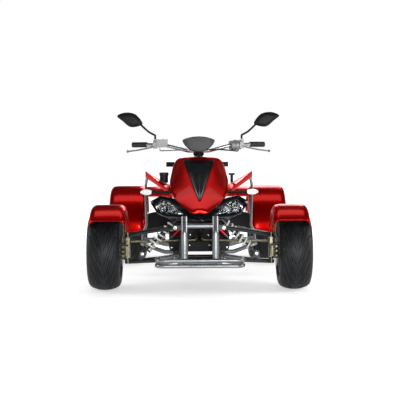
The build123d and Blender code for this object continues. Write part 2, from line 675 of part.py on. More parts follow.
# Bumper
BUMPER_FOOT_BEHIND = -140 - RAIL_DIAMETER / 2 - FIT - BUMPER_FOOT
bumper_front = -FRONT_OVERHANG + LOOP_TUBE / 2
with BuildPart() as bumper:
    for side in (-1, 1):
        tube(
            (
                at(side * BUMPER_X, -308, 199), at(side * BUMPER_X, -300, 350),
                at(side * BUMPER_X, -268, 431),
            ),
            BUMPER_TUBE, 60,
        )
        foot = at(side * LOWER_RAIL_X, BUMPER_FOOT_BEHIND, LOWER_RAIL_Z + 6)
        bar(at(side * BUMPER_X, -306, 226), foot, 12)
        block(
            (foot.X - 15, foot.X + 15), (foot.Y, foot.Y + BUMPER_FOOT),
            (LOWER_RAIL_Z - 13, LOWER_RAIL_Z + 20),
        )
        bar(at(side * BUMPER_X, -290, 380), at(side * BUMPER_X, ARM_FRONT_BEHIND - 12.9, 380), 9)
        bar(
            at(side * BUMPER_X, -307.6, 206), at(side * BUMPER_X, -300.6, 338),
            BUMPER_TUBE / 2 + BUMPER_SLEEVE,
        )
    bar(at(-BUMPER_X, -285, 384), at(BUMPER_X, -285, 384), 13)
    for loop_z in (175, 204):
        tube(
            (
                at(-120, -190, loop_z + 12), at(-LOOP_X + LOOP_TUBE / 2, -250, loop_z),
                at(-LOOP_X + LOOP_TUBE / 2, bumper_front, loop_z),
                at(LOOP_X - LOOP_TUBE / 2, bumper_front, loop_z),
                at(LOOP_X - LOOP_TUBE / 2, -250, loop_z), at(120, -190, loop_z + 12),
            ),
            LOOP_TUBE, 38,
        )
    for side in (-1, 1):
        bar(at(side * BUMPER_X, -308, 204), at(side * BUMPER_X, bumper_front, 204), 8)
        foot = at(side * LOWER_RAIL_X, BUMPER_FOOT_BEHIND, LOWER_RAIL_Z + 6)
        bar(at(side * 120, -190, 190), foot, 9)
        bar(at(side * 120, -190, 216), at(side * 120, -190, 187), 10)

# Nose cowl
nose_table = (
    # behind, low half width, low z, shoulder half width, shoulder z, top half width, top z
    (-262, 30, 443, 52, 452, 14, 472),
    (-150, 108, 486, 128, 512, 30, 540),
    (-40, 156, 528, 160, 560, 52, 592),
    (110, 170, 556, 168, 610, 84, 664),
    (NOSE_END, 160, 596, 152, 690, 116, 738),
)


def hood_section(station, low_w, low_z, mid_w, mid_z, top_w, top_z):
    """A six-cornered section of a bonnet, across the vehicle."""
    with BuildSketch(Plane.XZ.offset(-(FRONT_AXLE_Y + station))) as section:
        with BuildLine():
            Polyline(
                (-low_w, low_z), (-mid_w, mid_z), (-top_w, top_z),
                (top_w, top_z), (mid_w, mid_z), (low_w, low_z), close=True,
            )
        make_face()
    return section.sketch


def grown(rows, margin):
    """The rows of a bonnet table with every section larger by a margin."""
    return [
        (
            station, low_w + margin, low_z - margin, mid_w + margin, mid_z,
            top_w + margin, top_z + margin,
        )
        for station, low_w, low_z, mid_w, mid_z, top_w, top_z in rows
    ]


nose_room = loft([hood_section(*row) for row in grown(nose_table, FIT)])
with BuildPart() as nose_cowl:
    loft([hood_section(*row) for row in nose_table])
    inner_rows = []
    for index, (station, low_w, low_z, mid_w, mid_z, top_w, top_z) in enumerate(nose_table):
        shift = 10 if index == 0 else 0
        if index == len(nose_table) - 1:
            shift = 2
        inner_rows.append(
            (
                station + shift, low_w - NOSE_WALL, low_z - 12, mid_w - NOSE_WALL,
                mid_z - NOSE_WALL, top_w - NOSE_WALL, top_z - NOSE_WALL,
            )
        )
    loft([hood_section(*row) for row in inner_rows], mode=Mode.SUBTRACT)
    bar(on_stem(200), on_stem(600), STEM_RADIUS + 8, mode=Mode.SUBTRACT)

with BuildPart() as nose_shield:
    shield_rows = (
        # behind, half width, z
        (-200, 5, 515), (-150, 20, 541), (-40, 40, 593), (110, 70, 665), (236, 93, 717),
    )
    shield_sections = []
    for station, half, low in shield_rows:
        with BuildSketch(Plane.XZ.offset(-(FRONT_AXLE_Y + station))) as section:
            with Locations((0, low)):
                Rectangle(2 * half, 10)
        shield_sections.append(section.sketch)
    loft(shield_sections)
    add(nose_room, mode=Mode.SUBTRACT)

# Lamp housing, reflectors and lenses
lamp_a = radians(LAMP_SWEEP)
lamp_b = radians(LAMP_LEAN)
lamp_out = Vector(sin(lamp_a) * cos(lamp_b), -cos(lamp_a) * cos(lamp_b), sin(lamp_b))
lamp_plane = Plane(
    origin=at(0, LAMP_BEHIND, LAMP_Z), x_dir=(cos(lamp_a), sin(lamp_a), 0), z_dir=lamp_out,
)


def on_lamp(x, z):
    """Lamp face coordinates of a point given as seen from the front."""
    rise = (z - LAMP_Z) / cos(lamp_b)
    return ((x + rise * sin(lamp_a) * sin(lamp_b)) / cos(lamp_a), rise)


def lamp_outline(points):
    """A closed outline on the lamp face."""
    with BuildSketch(lamp_plane) as outline:
        with BuildLine():
            Polyline(*[on_lamp(x, z) for x, z in points], close=True)
        make_face()
    return outline.sketch


housing_points = (
    (0, 405), (88, 418), (184, 418), (238, 438), (280, 501), (217, 536), (155, 526), (0, 470),
)
lens_points = ((84, 438), (184, 438), (230, 455), (251, 476), (209, 509), (167, 501))
with BuildPart() as lamp_housing:
    extrude(to_extrude=lamp_outline(housing_points), amount=-LAMP_DEPTH)
    with BuildSketch(lamp_plane) as pocket:
        add(lamp_plane.to_local_coords(lamp_outline(lens_points)))
        offset(amount=FIT)
    extrude(to_extrude=pocket.sketch, amount=-LAMP_DEPTH + 8, mode=Mode.SUBTRACT)
    split(bisect_by=Plane.YZ, keep=Keep.TOP)
    mirror(about=Plane.YZ)
    add(nose_room, mode=Mode.SUBTRACT)
    for side in (-1, 1):
        block(
            (side * 60 - 8, side * 60 + 8), behind(-130, -70 - POST_DIAMETER / 2 - FIT),
            (TOWER_Z - 8, TOWER_Z + 8),
        )

with BuildPart() as headlamp_lenses:
    extrude(to_extrude=lamp_outline(lens_points), amount=-5)
    mirror(about=Plane.YZ)

# Front indicators on stalks from the bonnet's flanks
with BuildPart() as indicator_stalks:
    root = at(INDICATOR_ROOT_X, INDICATOR_BEHIND, INDICATOR_Z)
    tip = at(INDICATOR_LENS_X - FIT, INDICATOR_BEHIND, INDICATOR_Z)
    bar(root, tip, INDICATOR_STALK)
    bar(tip - Vector(14, 0, 0), tip, INDICATOR_STALK + 3)
    bar(root, root + Vector(34, 0, 0), INDICATOR_STALK + 3)
    mirror(about=Plane.YZ)
    add(nose_room, mode=Mode.SUBTRACT)

with BuildPart() as front_indicators:
    leaf_y = FRONT_AXLE_Y + INDICATOR_BEHIND + INDICATOR_DEPTH / 2
    with BuildSketch(Plane.XZ.offset(-leaf_y)) as leaf:
        with BuildLine():
            root_z = (INDICATOR_Z - INDICATOR_HEIGHT / 4, INDICATOR_Z + INDICATOR_HEIGHT / 4)
            wide_z = (INDICATOR_Z - INDICATOR_HEIGHT / 2, INDICATOR_Z + INDICATOR_HEIGHT / 2)
            tip_z = (INDICATOR_Z - 4, INDICATOR_Z + 4)
            wide_x = (INDICATOR_LENS_X + INDICATOR_TIP_X) / 2
            Line((INDICATOR_LENS_X, root_z[0]), (INDICATOR_LENS_X, root_z[1]))
            ThreePointArc(
                (INDICATOR_LENS_X, root_z[1]), (wide_x, wide_z[1]), (INDICATOR_TIP_X, tip_z[1]),
            )
            Line((INDICATOR_TIP_X, tip_z[1]), (INDICATOR_TIP_X, tip_z[0]))
            ThreePointArc(
                (INDICATOR_TIP_X, tip_z[0]), (wide_x, wide_z[0]), (INDICATOR_LENS_X, root_z[0]),
            )
        make_face()
    extrude(to_extrude=leaf.sketch, amount=INDICATOR_DEPTH)
    mirror(about=Plane.YZ)

# Side wings
wing_table = (
    # half width, leading behind, leading z, lip depth, trailing behind, trailing z
    (140, -50, 542, 20, 170, 572),
    (312, 240, 659, 41, 330, 650),
)


def wing_sections(rows, growth):
    """Sections of a wing along X, with a growth below and above."""
    sections = []
    for half, lead, lead_z, depth, trail, trail_z in rows:
        with BuildSketch(Plane.YZ.offset(half)) as section:
            with BuildLine():
                Polyline(
                    (FRONT_AXLE_Y + lead, lead_z - depth - growth),
                    (FRONT_AXLE_Y + lead, lead_z + growth),
                    (FRONT_AXLE_Y + trail, trail_z + growth),
                    (FRONT_AXLE_Y + trail, trail_z - WING_LIP - growth), close=True,
                )
            make_face()
        sections.append(section.sketch)
    return sections


with BuildPart() as side_wings:
    loft(wing_sections(wing_table, 0), ruled=True)
    mirror(about=Plane.YZ)
    add(nose_room, mode=Mode.SUBTRACT)

with BuildPart() as wing_room:
    loft(wing_sections(wing_table, FIT), ruled=True)
    mirror(about=Plane.YZ)

# Filler cap and lever standing on the wings
with BuildPart() as wing_fittings:
    bar(at(-202, 190, 592), at(-202, 190, 640), 24)
    bar(at(-202, 190, 634), at(-202, 190, 651), 27)
    bar(at(190, 190, 586), at(190, 190, 640), 8)
    block((172, 207), behind(180, 199), (634, 646))
    add(wing_room.part, mode=Mode.SUBTRACT)

# Tank cover
tank_table = (
    # behind, low half width, low z, shoulder half width, shoulder z, top half width, top z
    (NOSE_END + FIT, 160, 520, 152, 690, 116, 738),
    (400, 168, 500, 148, 680, 106, 722),
    (540, 150, 500, 136, 636, 96, 668),
)
seat_floor = SEAT_RAIL_Z + RAIL_DIAMETER / 2 + FIT
with BuildPart() as tank_cover:
    loft([hood_section(*row) for row in tank_table])
    block((-126, 126), behind(280, 560), (480, seat_floor), mode=Mode.SUBTRACT)
    bar(on_stem(200), on_stem(700), STEM_RADIUS + 8, mode=Mode.SUBTRACT)
    with Locations(at(0, 440, 722)):
        Cylinder(34, 30)

# Seat and tail
seat_table = (
    # behind, half width, top z
    (541, 112, 664), (700, 118, 640), (WHEELBASE - 290, 140, 644), (WHEELBASE - 50, 110, 668),
)
with BuildPart() as seat:
    seat_sections = []
    for station, half, top_z in seat_table:
        with BuildSketch(Plane.XZ.offset(-(FRONT_AXLE_Y + station))) as section:
            with Locations((0, (top_z + seat_floor) / 2)):
                RectangleRounded(2 * half, top_z - seat_floor, 18)
        seat_sections.append(section.sketch)
    loft(seat_sections)

tail_end = WHEELBASE + REAR_OVERHANG
tail_table = (
    # behind, low half width, low z, shoulder half width, shoulder z, top half width, top z
    (WHEELBASE - 48, 118, seat_floor, 124, 640, 92, 682),
    (RAIL_END, 104, seat_floor, 112, 650, 84, 700),
    (tail_end - 8, 60, 640, 70, 668, 56, 706),
)
with BuildPart() as tail_cowl:
    loft([hood_section(*row) for row in tail_table], ruled=True)

with BuildPart() as tail_lamp:
    with BuildSketch(Plane.XZ.offset(-(FRONT_AXLE_Y + tail_end))) as outline:
        with Locations((0, 668)):
            RectangleRounded(96, 34, 10)
    extrude(to_extrude=outline.sketch, amount=8 - FIT)

with BuildPart() as rear_indicators:
    tail_sections = [hood_section(*row) for row in grown(tail_table, FIT)]
    tail_room = loft(tail_sections, ruled=True, mode=Mode.PRIVATE)
    behind_tail = WHEELBASE + REAR_INDICATOR_PAST
    bar(at(90, behind_tail, REAR_INDICATOR_Z), at(162, behind_tail, REAR_INDICATOR_Z), 8)
    with Locations(at(188, behind_tail, REAR_INDICATOR_Z)):
        Box(56, INDICATOR_DEPTH, INDICATOR_HEIGHT)
    fillet(edges().filter_by(Axis.Y), 10)
    mirror(about=Plane.YZ)
    add(tail_room, mode=Mode.SUBTRACT)

# Rear fenders
rear_fender_x = (REAR_WHEEL_X - REAR_FENDER_INSIDE, REAR_WHEEL_X + REAR_FENDER_OUTSIDE)
rear_wheel = Vector(REAR_WHEEL_X, REAR_AXLE_Y, REAR_AXLE_Z)
with BuildPart() as rear_fenders:
    arch(
        rear_wheel, REAR_FENDER_RADIUS, rear_fender_x, FENDER_CORNER, REAR_FENDER_SKIRT, 92, 70,
    )
    mirror(about=Plane.YZ)
    arch(
        Vector(0, REAR_AXLE_Y, REAR_AXLE_Z), REAR_FENDER_RADIUS,
        (-rear_fender_x[0] - FENDER_CORNER, rear_fender_x[0] + FENDER_CORNER), 0, FENDER_WALL, 38, 42,
    )

# Engine, radiator and exhaust
engine_floor = LOWER_RAIL_Z + 4 + POST_DIAMETER / 2 + FIT
sprocket_end = at(SPROCKET_X + 4, ENGINE_SPROCKET_BEHIND, ENGINE_SPROCKET_Z)
with BuildPart() as engine:
    block((-120, 88), behind(ENGINE_FRONT, ENGINE_BACK), (engine_floor, ENGINE_TOP))
    bar(at(0, 500, ENGINE_TOP - 10), at(0, 450, 560), CYLINDER_RADIUS)
    block((-60, 60), behind(400, 510), (540, 560))
    bar(
        at(80, ENGINE_SPROCKET_BEHIND, ENGINE_SPROCKET_Z), sprocket_end,
        ENGINE_SPROCKET_RADIUS - CHAIN_HEIGHT / 2 - FIT,
    )
    bar(at(-20, 470, EXHAUST_PORT_Z), at(-20, EXHAUST_PORT_BEHIND, EXHAUST_PORT_Z), 24)

# Airbox with the intake pipe
with BuildPart() as airbox:
    airbox_top = SEAT_RAIL_Z - RAIL_DIAMETER / 2 - FIT
    block((-AIRBOX_X, AIRBOX_X), behind(592, 742), (410, airbox_top))
    fillet(edges(), 12)
    bar(at(0, 543.6, INTAKE_Z), at(0, 594, INTAKE_Z), INTAKE_RADIUS)

# Radiator with the splash panel ahead of it and its hoses
with BuildPart() as radiator:
    block(
        (-RADIATOR_X, RADIATOR_X),
        behind(RADIATOR_BEHIND - RADIATOR_DEPTH / 2, RADIATOR_BEHIND + RADIATOR_DEPTH / 2),
        (RADIATOR_Z, RADIATOR_Z + RADIATOR_HEIGHT),
    )

radiator_face = RADIATOR_BEHIND - RADIATOR_DEPTH / 2
with BuildPart() as splash_panel:
    panel_plane = Plane.XZ.offset(-(FRONT_AXLE_Y + SPLASH_BEHIND + SPLASH_WALL))
    with BuildSketch(panel_plane) as sheet:
        with Locations((0, (SPLASH_BOTTOM + SPLASH_TOP) / 2)):
            RectangleRounded(2 * SPLASH_X, SPLASH_TOP - SPLASH_BOTTOM, 24)
        with Locations((0, RADIATOR_Z + RADIATOR_HEIGHT / 2 + 4)):
            with GridLocations(0, 26, 1, 5):
                SlotOverall(190, 14, mode=Mode.SUBTRACT)
    extrude(to_extrude=sheet.sketch, amount=SPLASH_WALL)
    for side in (-1, 1):
        for boss_z in (RADIATOR_Z + 14, RADIATOR_Z + RADIATOR_HEIGHT - 14):
            boss = at(side * 122, SPLASH_BEHIND + 2, boss_z)
            bar(boss, at(side * 122, radiator_face - FIT, boss_z), 9)

with BuildPart() as coolant_hoses:
    radiator_back = RADIATOR_BEHIND + RADIATOR_DEPTH / 2 + FIT
    tube(
        (
            at(95, radiator_back, 330), at(95, 285, 330), at(60, 365, 340),
            at(60, ENGINE_FRONT - FIT, 340),
        ),
        26, 26,
    )
    tube(
        (
            at(90, radiator_back, 436), at(90, 285, 436), at(48, 345, 549), at(48, 400 - FIT, 549),
        ),
        20, 24,
    )

with BuildPart() as exhaust:
    tube(
        (
            at(-20, EXHAUST_PORT_BEHIND - FIT, EXHAUST_PORT_Z), at(-20, 345, EXHAUST_PORT_Z),
            at(-110, 345, 430), at(-172, 470, 400), at(-178, 760, 390),
            at(SILENCER_X, SILENCER_START + 5, 385),
        ),
        EXHAUST_PIPE, 30,
    )
    silencer_front = at(SILENCER_X, SILENCER_START, 385)
    silencer_back = at(SILENCER_X, WHEELBASE + SILENCER_PAST, 400)
    bar(silencer_front, silencer_back, SILENCER_RADIUS)
    bar(silencer_back, silencer_back + (silencer_back - silencer_front).normalized() * 30, 24)

# Swing arm with axle carrier
with BuildPart() as swing_arm:
    bar(at(-118, PIVOT_BEHIND, PIVOT_Z), at(118, PIVOT_BEHIND, PIVOT_Z), 21)
    for side in (-1, 1):
        with BuildSketch(Plane.YZ.offset(side * 76 - 17)) as beam:
            with BuildLine():
                Polyline(
                    (FRONT_AXLE_Y + PIVOT_BEHIND, PIVOT_Z - 21),
                    (REAR_AXLE_Y, REAR_AXLE_Z - 30), (REAR_AXLE_Y, REAR_AXLE_Z + 30),
                    (FRONT_AXLE_Y + PIVOT_BEHIND, PIVOT_Z + 21), close=True,
                )
            make_face()
        extrude(to_extrude=beam.sketch, amount=34)
    bar(
        Vector(-CARRIER_HALF, REAR_AXLE_Y, REAR_AXLE_Z),
        Vector(CARRIER_HALF, REAR_AXLE_Y, REAR_AXLE_Z), CARRIER_RADIUS,
    )
    bar(at(-93, 990, 232), at(93, 990, 232), 20)
    for side in (-1, 1):
        low = side * (EYE_LENGTH / 2 + FIT + PLATE / 2) - PLATE / 2
        block(
            (low, low + PLATE), behind(REAR_SHOCK_FOOT_BEHIND - 42, REAR_SHOCK_FOOT_BEHIND + 14),
            (232, REAR_SHOCK_FOOT_Z + 14),
        )
    reach = EYE_LENGTH / 2 + PLATE + 4
    bar(rear_shock_foot - Vector(reach, 0, 0), rear_shock_foot + Vector(reach, 0, 0), BOLT_RADIUS)
    block(
        (-30, 30), (REAR_AXLE_Y + 20, REAR_AXLE_Y + 110), (REAR_AXLE_Z - 4, REAR_AXLE_Z + 4),
    )
    bar(
        Vector(-200, REAR_AXLE_Y, REAR_AXLE_Z), Vector(200, REAR_AXLE_Y, REAR_AXLE_Z),
        AXLE_RADIUS + FIT, mode=Mode.SUBTRACT,
    )
    bar(
        at(-PIVOT_PLATE_X, PIVOT_BEHIND, PIVOT_Z), at(PIVOT_PLATE_X, PIVOT_BEHIND, PIVOT_Z),
        9 + FIT, mode=Mode.SUBTRACT,
    )
    with Locations(Vector(0, REAR_AXLE_Y + 90, REAR_AXLE_Z)):
        Cylinder(8, 40, mode=Mode.SUBTRACT)

# Rear brake calliper on the swing arm
with BuildPart() as rear_calliper:
    calliper_z = (REAR_AXLE_Z - 26, REAR_AXLE_Z + 62)
    block((-SPROCKET_X - 20, -93 - FIT), (REAR_AXLE_Y - 112, REAR_AXLE_Y - 48), calliper_z)
    block(
        (-SPROCKET_X - 8, -SPROCKET_X + 8), (REAR_AXLE_Y - 97, REAR_AXLE_Y - 40),
        (calliper_z[0] - 2, calliper_z[1] + 2), mode=Mode.SUBTRACT,
    )

# Rear axle, rims and tyres
rear_flange = REAR_WHEEL_X + RIM_DISH_OFFSET - FIT
with BuildPart() as rear_axle:
    tip = rear_flange + 26
    bar(Vector(-tip, REAR_AXLE_Y, REAR_AXLE_Z), Vector(tip, REAR_AXLE_Y, REAR_AXLE_Z), AXLE_RADIUS)
    for side in (-1, 1):
        bar(
            Vector(side * (rear_flange - 60), REAR_AXLE_Y, REAR_AXLE_Z),
            Vector(side * rear_flange, REAR_AXLE_Y, REAR_AXLE_Z), HUB_RADIUS,
        )
        bar(
            Vector(side * (rear_flange - HUB_FLANGE_THICKNESS), REAR_AXLE_Y, REAR_AXLE_Z),
            Vector(side * rear_flange, REAR_AXLE_Y, REAR_AXLE_Z), HUB_FLANGE_RADIUS,
        )
    bar(
        Vector(SPROCKET_X - 3, REAR_AXLE_Y, REAR_AXLE_Z),
        Vector(SPROCKET_X + 3, REAR_AXLE_Y, REAR_AXLE_Z),
        AXLE_SPROCKET_RADIUS - CHAIN_HEIGHT / 2 - FIT,
    )
    bar(
        Vector(-SPROCKET_X - 2, REAR_AXLE_Y, REAR_AXLE_Z),
        Vector(-SPROCKET_X + 2, REAR_AXLE_Y, REAR_AXLE_Z), DISC_RADIUS,
    )

with BuildPart() as rear_rims:
    rim(rear_wheel, REAR_TYRE_WIDTH, REAR_RIM_DIAMETER, AXLE_RADIUS + FIT)
    mirror(about=Plane.YZ)

with BuildPart() as rear_tyres:
    tyre(rear_wheel, REAR_TYRE_WIDTH, REAR_TYRE_DIAMETER, REAR_RIM_DIAMETER)
    mirror(about=Plane.YZ)

# Drive chain
with BuildPart() as drive_chain:
    with BuildSketch(Plane.YZ.offset(SPROCKET_X - CHAIN_WIDTH / 2)) as loop:
        for grow, mode in ((CHAIN_HEIGHT / 2, Mode.ADD), (-CHAIN_HEIGHT / 2, Mode.SUBTRACT)):
            front = (FRONT_AXLE_Y + ENGINE_SPROCKET_BEHIND, ENGINE_SPROCKET_Z)
            rear = (REAR_AXLE_Y, REAR_AXLE_Z)
            with BuildSketch(mode=Mode.PRIVATE) as belt:
                with Locations(front):
                    Circle(ENGINE_SPROCKET_RADIUS + grow)
                with Locations(rear):
                    Circle(AXLE_SPROCKET_RADIUS + grow)
                make_hull()
            add(belt.sketch, mode=mode)
    extrude(to_extrude=loop.sketch, amount=CHAIN_WIDTH)

# Foot pegs with side bars
with BuildPart() as foot_pegs:
    rail_side = WAIST_X + RAIL_DIAMETER / 2 + FIT
    bar(at(rail_side, PEG_BEHIND, LOWER_RAIL_Z + 6), at(215, PEG_BEHIND, 205), 13)
    block((205, SIDE_BAR_X), behind(PEG_BEHIND - 28, PEG_BEHIND + 28), (196, SIDE_BAR_Z))
    for tooth in (-24, -8, 8, 24):
        block(
            (210, SIDE_BAR_X - 14), behind(PEG_BEHIND + tooth - 3, PEG_BEHIND + tooth + 3),
            (SIDE_BAR_Z - 1, SIDE_BAR_Z + 6),
        )
    tube(
        (
            at(rail_side, 330, LOWER_RAIL_Z), at(rail_side + 50, 330, LOWER_RAIL_Z),
            at(SIDE_BAR_X, 360, SIDE_BAR_Z - 6), at(SIDE_BAR_X, 660, SIDE_BAR_Z - 6),
            at(rail_side + 50, 680, LOWER_RAIL_Z + 4), at(rail_side, 680, LOWER_RAIL_Z + 4),
        ),
        SIDE_BAR_DIAMETER, 30,
    )
    mirror(about=Plane.YZ)

# Leg guards from the wing tips down to the side bars
with BuildPart() as leg_guards:
    guard_foot = at(SIDE_BAR_X, 450, SIDE_BAR_Z - 6 + SIDE_BAR_DIAMETER / 2 + FIT)
    tube(
        (
            at(GUARD_X - 12, 285, 636), at(GUARD_X, 290, 574), at(GUARD_X, 390, 330),
            guard_foot + Vector(0, 0, 40), guard_foot,
        ),
        GUARD_DIAMETER, 30,
    )
    mirror(about=Plane.YZ)
    add(wing_room.part, mode=Mode.SUBTRACT)

# Steering stem with pitman plate
bar_table = (
    # half width, behind the clamp, above the clamp, in order from the middle
    (60, 19.4, -8.4), (185, 33.4, 22.6), (296, 79.4, 27.6), (392, 121.4, 26.6),
)
bar_points = [at_bar(-x, back, rise) for x, back, rise in reversed(bar_table)]
bar_points = bar_points + [at_bar(x, back, rise) for x, back, rise in bar_table]
with BuildPart() as steering_stem:
    bar(on_stem(-PITMAN_THICKNESS / 2), on_stem(STEM_LENGTH - 14), STEM_RADIUS)
    pitman = Plane(origin=on_stem(-PITMAN_THICKNESS / 2), x_dir=(1, 0, 0), z_dir=STEM_DIR)
    with BuildSketch(pitman) as plate:
        with Locations((0, 0)):
            Circle(22)
        for side in (-1, 1):
            with Locations((side * PITMAN_SPREAD, PITMAN_LENGTH)):
                Circle(15)
        make_hull()
    extrude(to_extrude=plate.sketch, amount=PITMAN_THICKNESS)
    block((-45, 45), behind_bar(POD_BACK + 2, 37), above_bar(-20, 10))
    block((-20, 20), behind_bar(POD_BACK + FIT, POD_BACK + 5), above_bar(-4, 10))
    tube(bar_points, 2 * (BAR_RADIUS + FIT), 50, mode=Mode.SUBTRACT)

# Handlebar
with BuildPart() as handlebar:
    tube(bar_points, 2 * BAR_RADIUS, 50)

bar_end = at_bar(*bar_table[-1])
bar_knee = at_bar(*bar_table[-2])
grip_run = (bar_end - bar_knee).normalized()
with BuildPart() as grips:
    start = bar_knee + grip_run * 14
    bar(start, bar_end + grip_run * 3, GRIP_RADIUS)
    bar(start - grip_run, bar_end + grip_run * FIT, BAR_RADIUS + FIT, mode=Mode.SUBTRACT)
    mirror(about=Plane.YZ)

# Lever perches, master cylinder box, throttle drum and levers
with BuildPart() as controls:
    lever = [
        at_bar(x, back, rise)
        for x, back, rise in ((255, 31, 20), (290, 26, 10), (360, 46, -4), (422, 73, -12))
    ]
    block((PERCH_X - 12, PERCH_X + 12), behind_bar(26, 86), above_bar(5, 42))
    block((PERCH_X - 12, PERCH_X + 12), behind_bar(56, 84), above_bar(40, PERCH_TOP))
    tube(lever, 9, 20)
    with Locations(lever[-1]):
        Sphere(8)
    mirror(about=Plane.YZ)
    block((-PERCH_X + 10, -184), behind_bar(20, 66), above_bar(12, 60))
    block((-PERCH_X + 8, -182), behind_bar(18, 68), above_bar(54, 60))
    throttle_start = at_bar(*bar_table[1])
    throttle_run = (bar_knee - throttle_start).normalized()
    bar(throttle_start + throttle_run * 4, throttle_start + throttle_run * 70, THROTTLE_RADIUS)
    bar(throttle_start + throttle_run * 30, throttle_start + throttle_run * 44, 31)
    tube(bar_points, 2 * (BAR_RADIUS + FIT), 50, mode=Mode.SUBTRACT)

# Brake hose on the right and control cables on the left, held by the clamp
hose_route = ((230, 30, -8), (120, 4, -4), (70, 0, -5), (45 + FIT, 0, -5))
with BuildPart() as brake_hose:
    tube(
        [at_bar(-230, 30, 12 - FIT)] + [at_bar(-x, back, rise) for x, back, rise in hose_route],
        CABLE_DIAMETER, 10,
    )

cable_table = (
    # along the drum, start behind and above its axis, fall, middle behind and above, end behind
    (56, -8, -26, 12, 4, 2, -2),
    (20, -18, -18, 14, -8, -1, -12),
)
with BuildPart() as control_cables:
    for along, back, rise, fall, middle_back, middle_rise, end_back in cable_table:
        cable_start = throttle_start + throttle_run * along + Vector(0, back, rise)
        tube(
            (
                cable_start, cable_start - Vector(0, 0, fall),
                at_bar(120, middle_back, middle_rise), at_bar(80, end_back, -4),
                at_bar(45 + FIT, end_back, -5),
            ),
            CABLE_DIAMETER, 8,
        )
    bar(
        throttle_start + throttle_run * 3, throttle_start + throttle_run * 71,
        THROTTLE_RADIUS + FIT, mode=Mode.SUBTRACT,
    )

# Mirrors
mirror_outline = (
    # x, above the clamp
    (487, 201), (436, 222), (377, 211), (335, 162), (347, 141), (407, 133), (455, 170),
)
with BuildPart() as mirrors:
    with BuildSketch(Plane.XZ.offset(-(CLAMP.Y + 126))) as head:
        with BuildLine():
            Polyline(*[(x, CLAMP.Z + rise) for x, rise in mirror_outline], close=True)
        make_face()
        fillet(head.vertices(), 9)
    extrude(to_extrude=head.sketch, amount=26)
    tube(
        (
            at_bar(352, 111, 155), at_bar(300, 91, 105), at_bar(PERCH_X, MIRROR_STEM_BACK, 86),
            at_bar(PERCH_X, MIRROR_STEM_BACK, PERCH_TOP + FIT),
        ),
        12, 12,
    )
    mirror(about=Plane.YZ)

# Instrument pod
with BuildPart() as instrument_pod:
    with BuildSketch(Plane.XZ.offset(-(CLAMP.Y + POD_BACK))) as bowl:
        with BuildLine():
            edge_z, brow_z, crown_z, keel_z = above_bar(50, 58, 78, -14.4)
            ThreePointArc((-95, edge_z), (0, keel_z), (95, edge_z))
            Line((95, edge_z), (94, brow_z))
            ThreePointArc((94, brow_z), (0, crown_z), (-94, brow_z))
            Line((-94, brow_z), (-95, edge_z))
        make_face()
        fillet(bowl.vertices().group_by(Axis.Y)[-1], 8)
    extrude(to_extrude=bowl.sketch, amount=POD_DEPTH)
    bar(on_stem(STEM_LENGTH - 60), on_stem(STEM_LENGTH), STEM_RADIUS + FIT, mode=Mode.SUBTRACT)

# Right-hand pieces
with BuildPart() as front_tyre_right:
    mirror(front_tyre_left.part, about=Plane.YZ)
with BuildPart() as front_rim_right:
    mirror(front_rim_left.part, about=Plane.YZ)
with BuildPart() as front_hub_right:
    mirror(front_hub_left.part, about=Plane.YZ)
with BuildPart() as knuckle_right:
    mirror(knuckle_left.part, about=Plane.YZ)
with BuildPart() as calliper_right:
    mirror(calliper_left.part, about=Plane.YZ)
with BuildPart() as front_fender_right:
    mirror(front_fender_left.part, about=Plane.YZ)
with BuildPart() as tie_rod_right:
    mirror(tie_rod_left.part, about=Plane.YZ)

pieces = (
    ("frame", frame), ("skid_plate", skid_plate), ("bumper", bumper),
    ("suspension_arms", suspension_arms), ("dampers", dampers), ("coil_springs", coil_springs),
    ("nose_cowl", nose_cowl), ("nose_shield", nose_shield), ("lamp_housing", lamp_housing),
    ("headlamp_lenses", headlamp_lenses), ("side_wings", side_wings), ("tank_cover", tank_cover),
    ("seat", seat), ("tail_cowl", tail_cowl), ("tail_lamp", tail_lamp),
    ("rear_fenders", rear_fenders), ("engine", engine), ("radiator", radiator),
    ("exhaust", exhaust), ("swing_arm", swing_arm), ("foot_pegs", foot_pegs),
    ("indicator_stalks", indicator_stalks), ("front_indicators", front_indicators),
    ("rear_indicators", rear_indicators), ("wing_fittings", wing_fittings),
    ("leg_guards", leg_guards), ("airbox", airbox), ("splash_panel", splash_panel),
    ("coolant_hoses", coolant_hoses), ("rear_calliper", rear_calliper),
    ("brake_hose", brake_hose), ("control_cables", control_cables),
    ("drive_chain", drive_chain), ("steering_stem", steering_stem), ("handlebar", handlebar),
    ("grips", grips), ("controls", controls), ("mirrors", mirrors),
    ("instrument_pod", instrument_pod), ("knuckle_left", knuckle_left),
    ("knuckle_right", knuckle_right), ("calliper_left", calliper_left),
    ("calliper_right", calliper_right), ("front_fender_left", front_fender_left),
    ("front_fender_right", front_fender_right), ("tie_rod_left", tie_rod_left),
    ("tie_rod_right", tie_rod_right), ("front_tyre_left", front_tyre_left),
    ("front_tyre_right", front_tyre_right), ("front_rim_left", front_rim_left),
    ("front_rim_right", front_rim_right), ("front_hub_left", front_hub_left),
    ("front_hub_right", front_hub_right), ("rear_axle", rear_axle), ("rear_rims", rear_rims),
    ("rear_tyres", rear_tyres),
)
for label, piece in pieces:
    piece.part.label = label
    export_step(piece.part, f"parts/{label}.step")
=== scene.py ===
import math

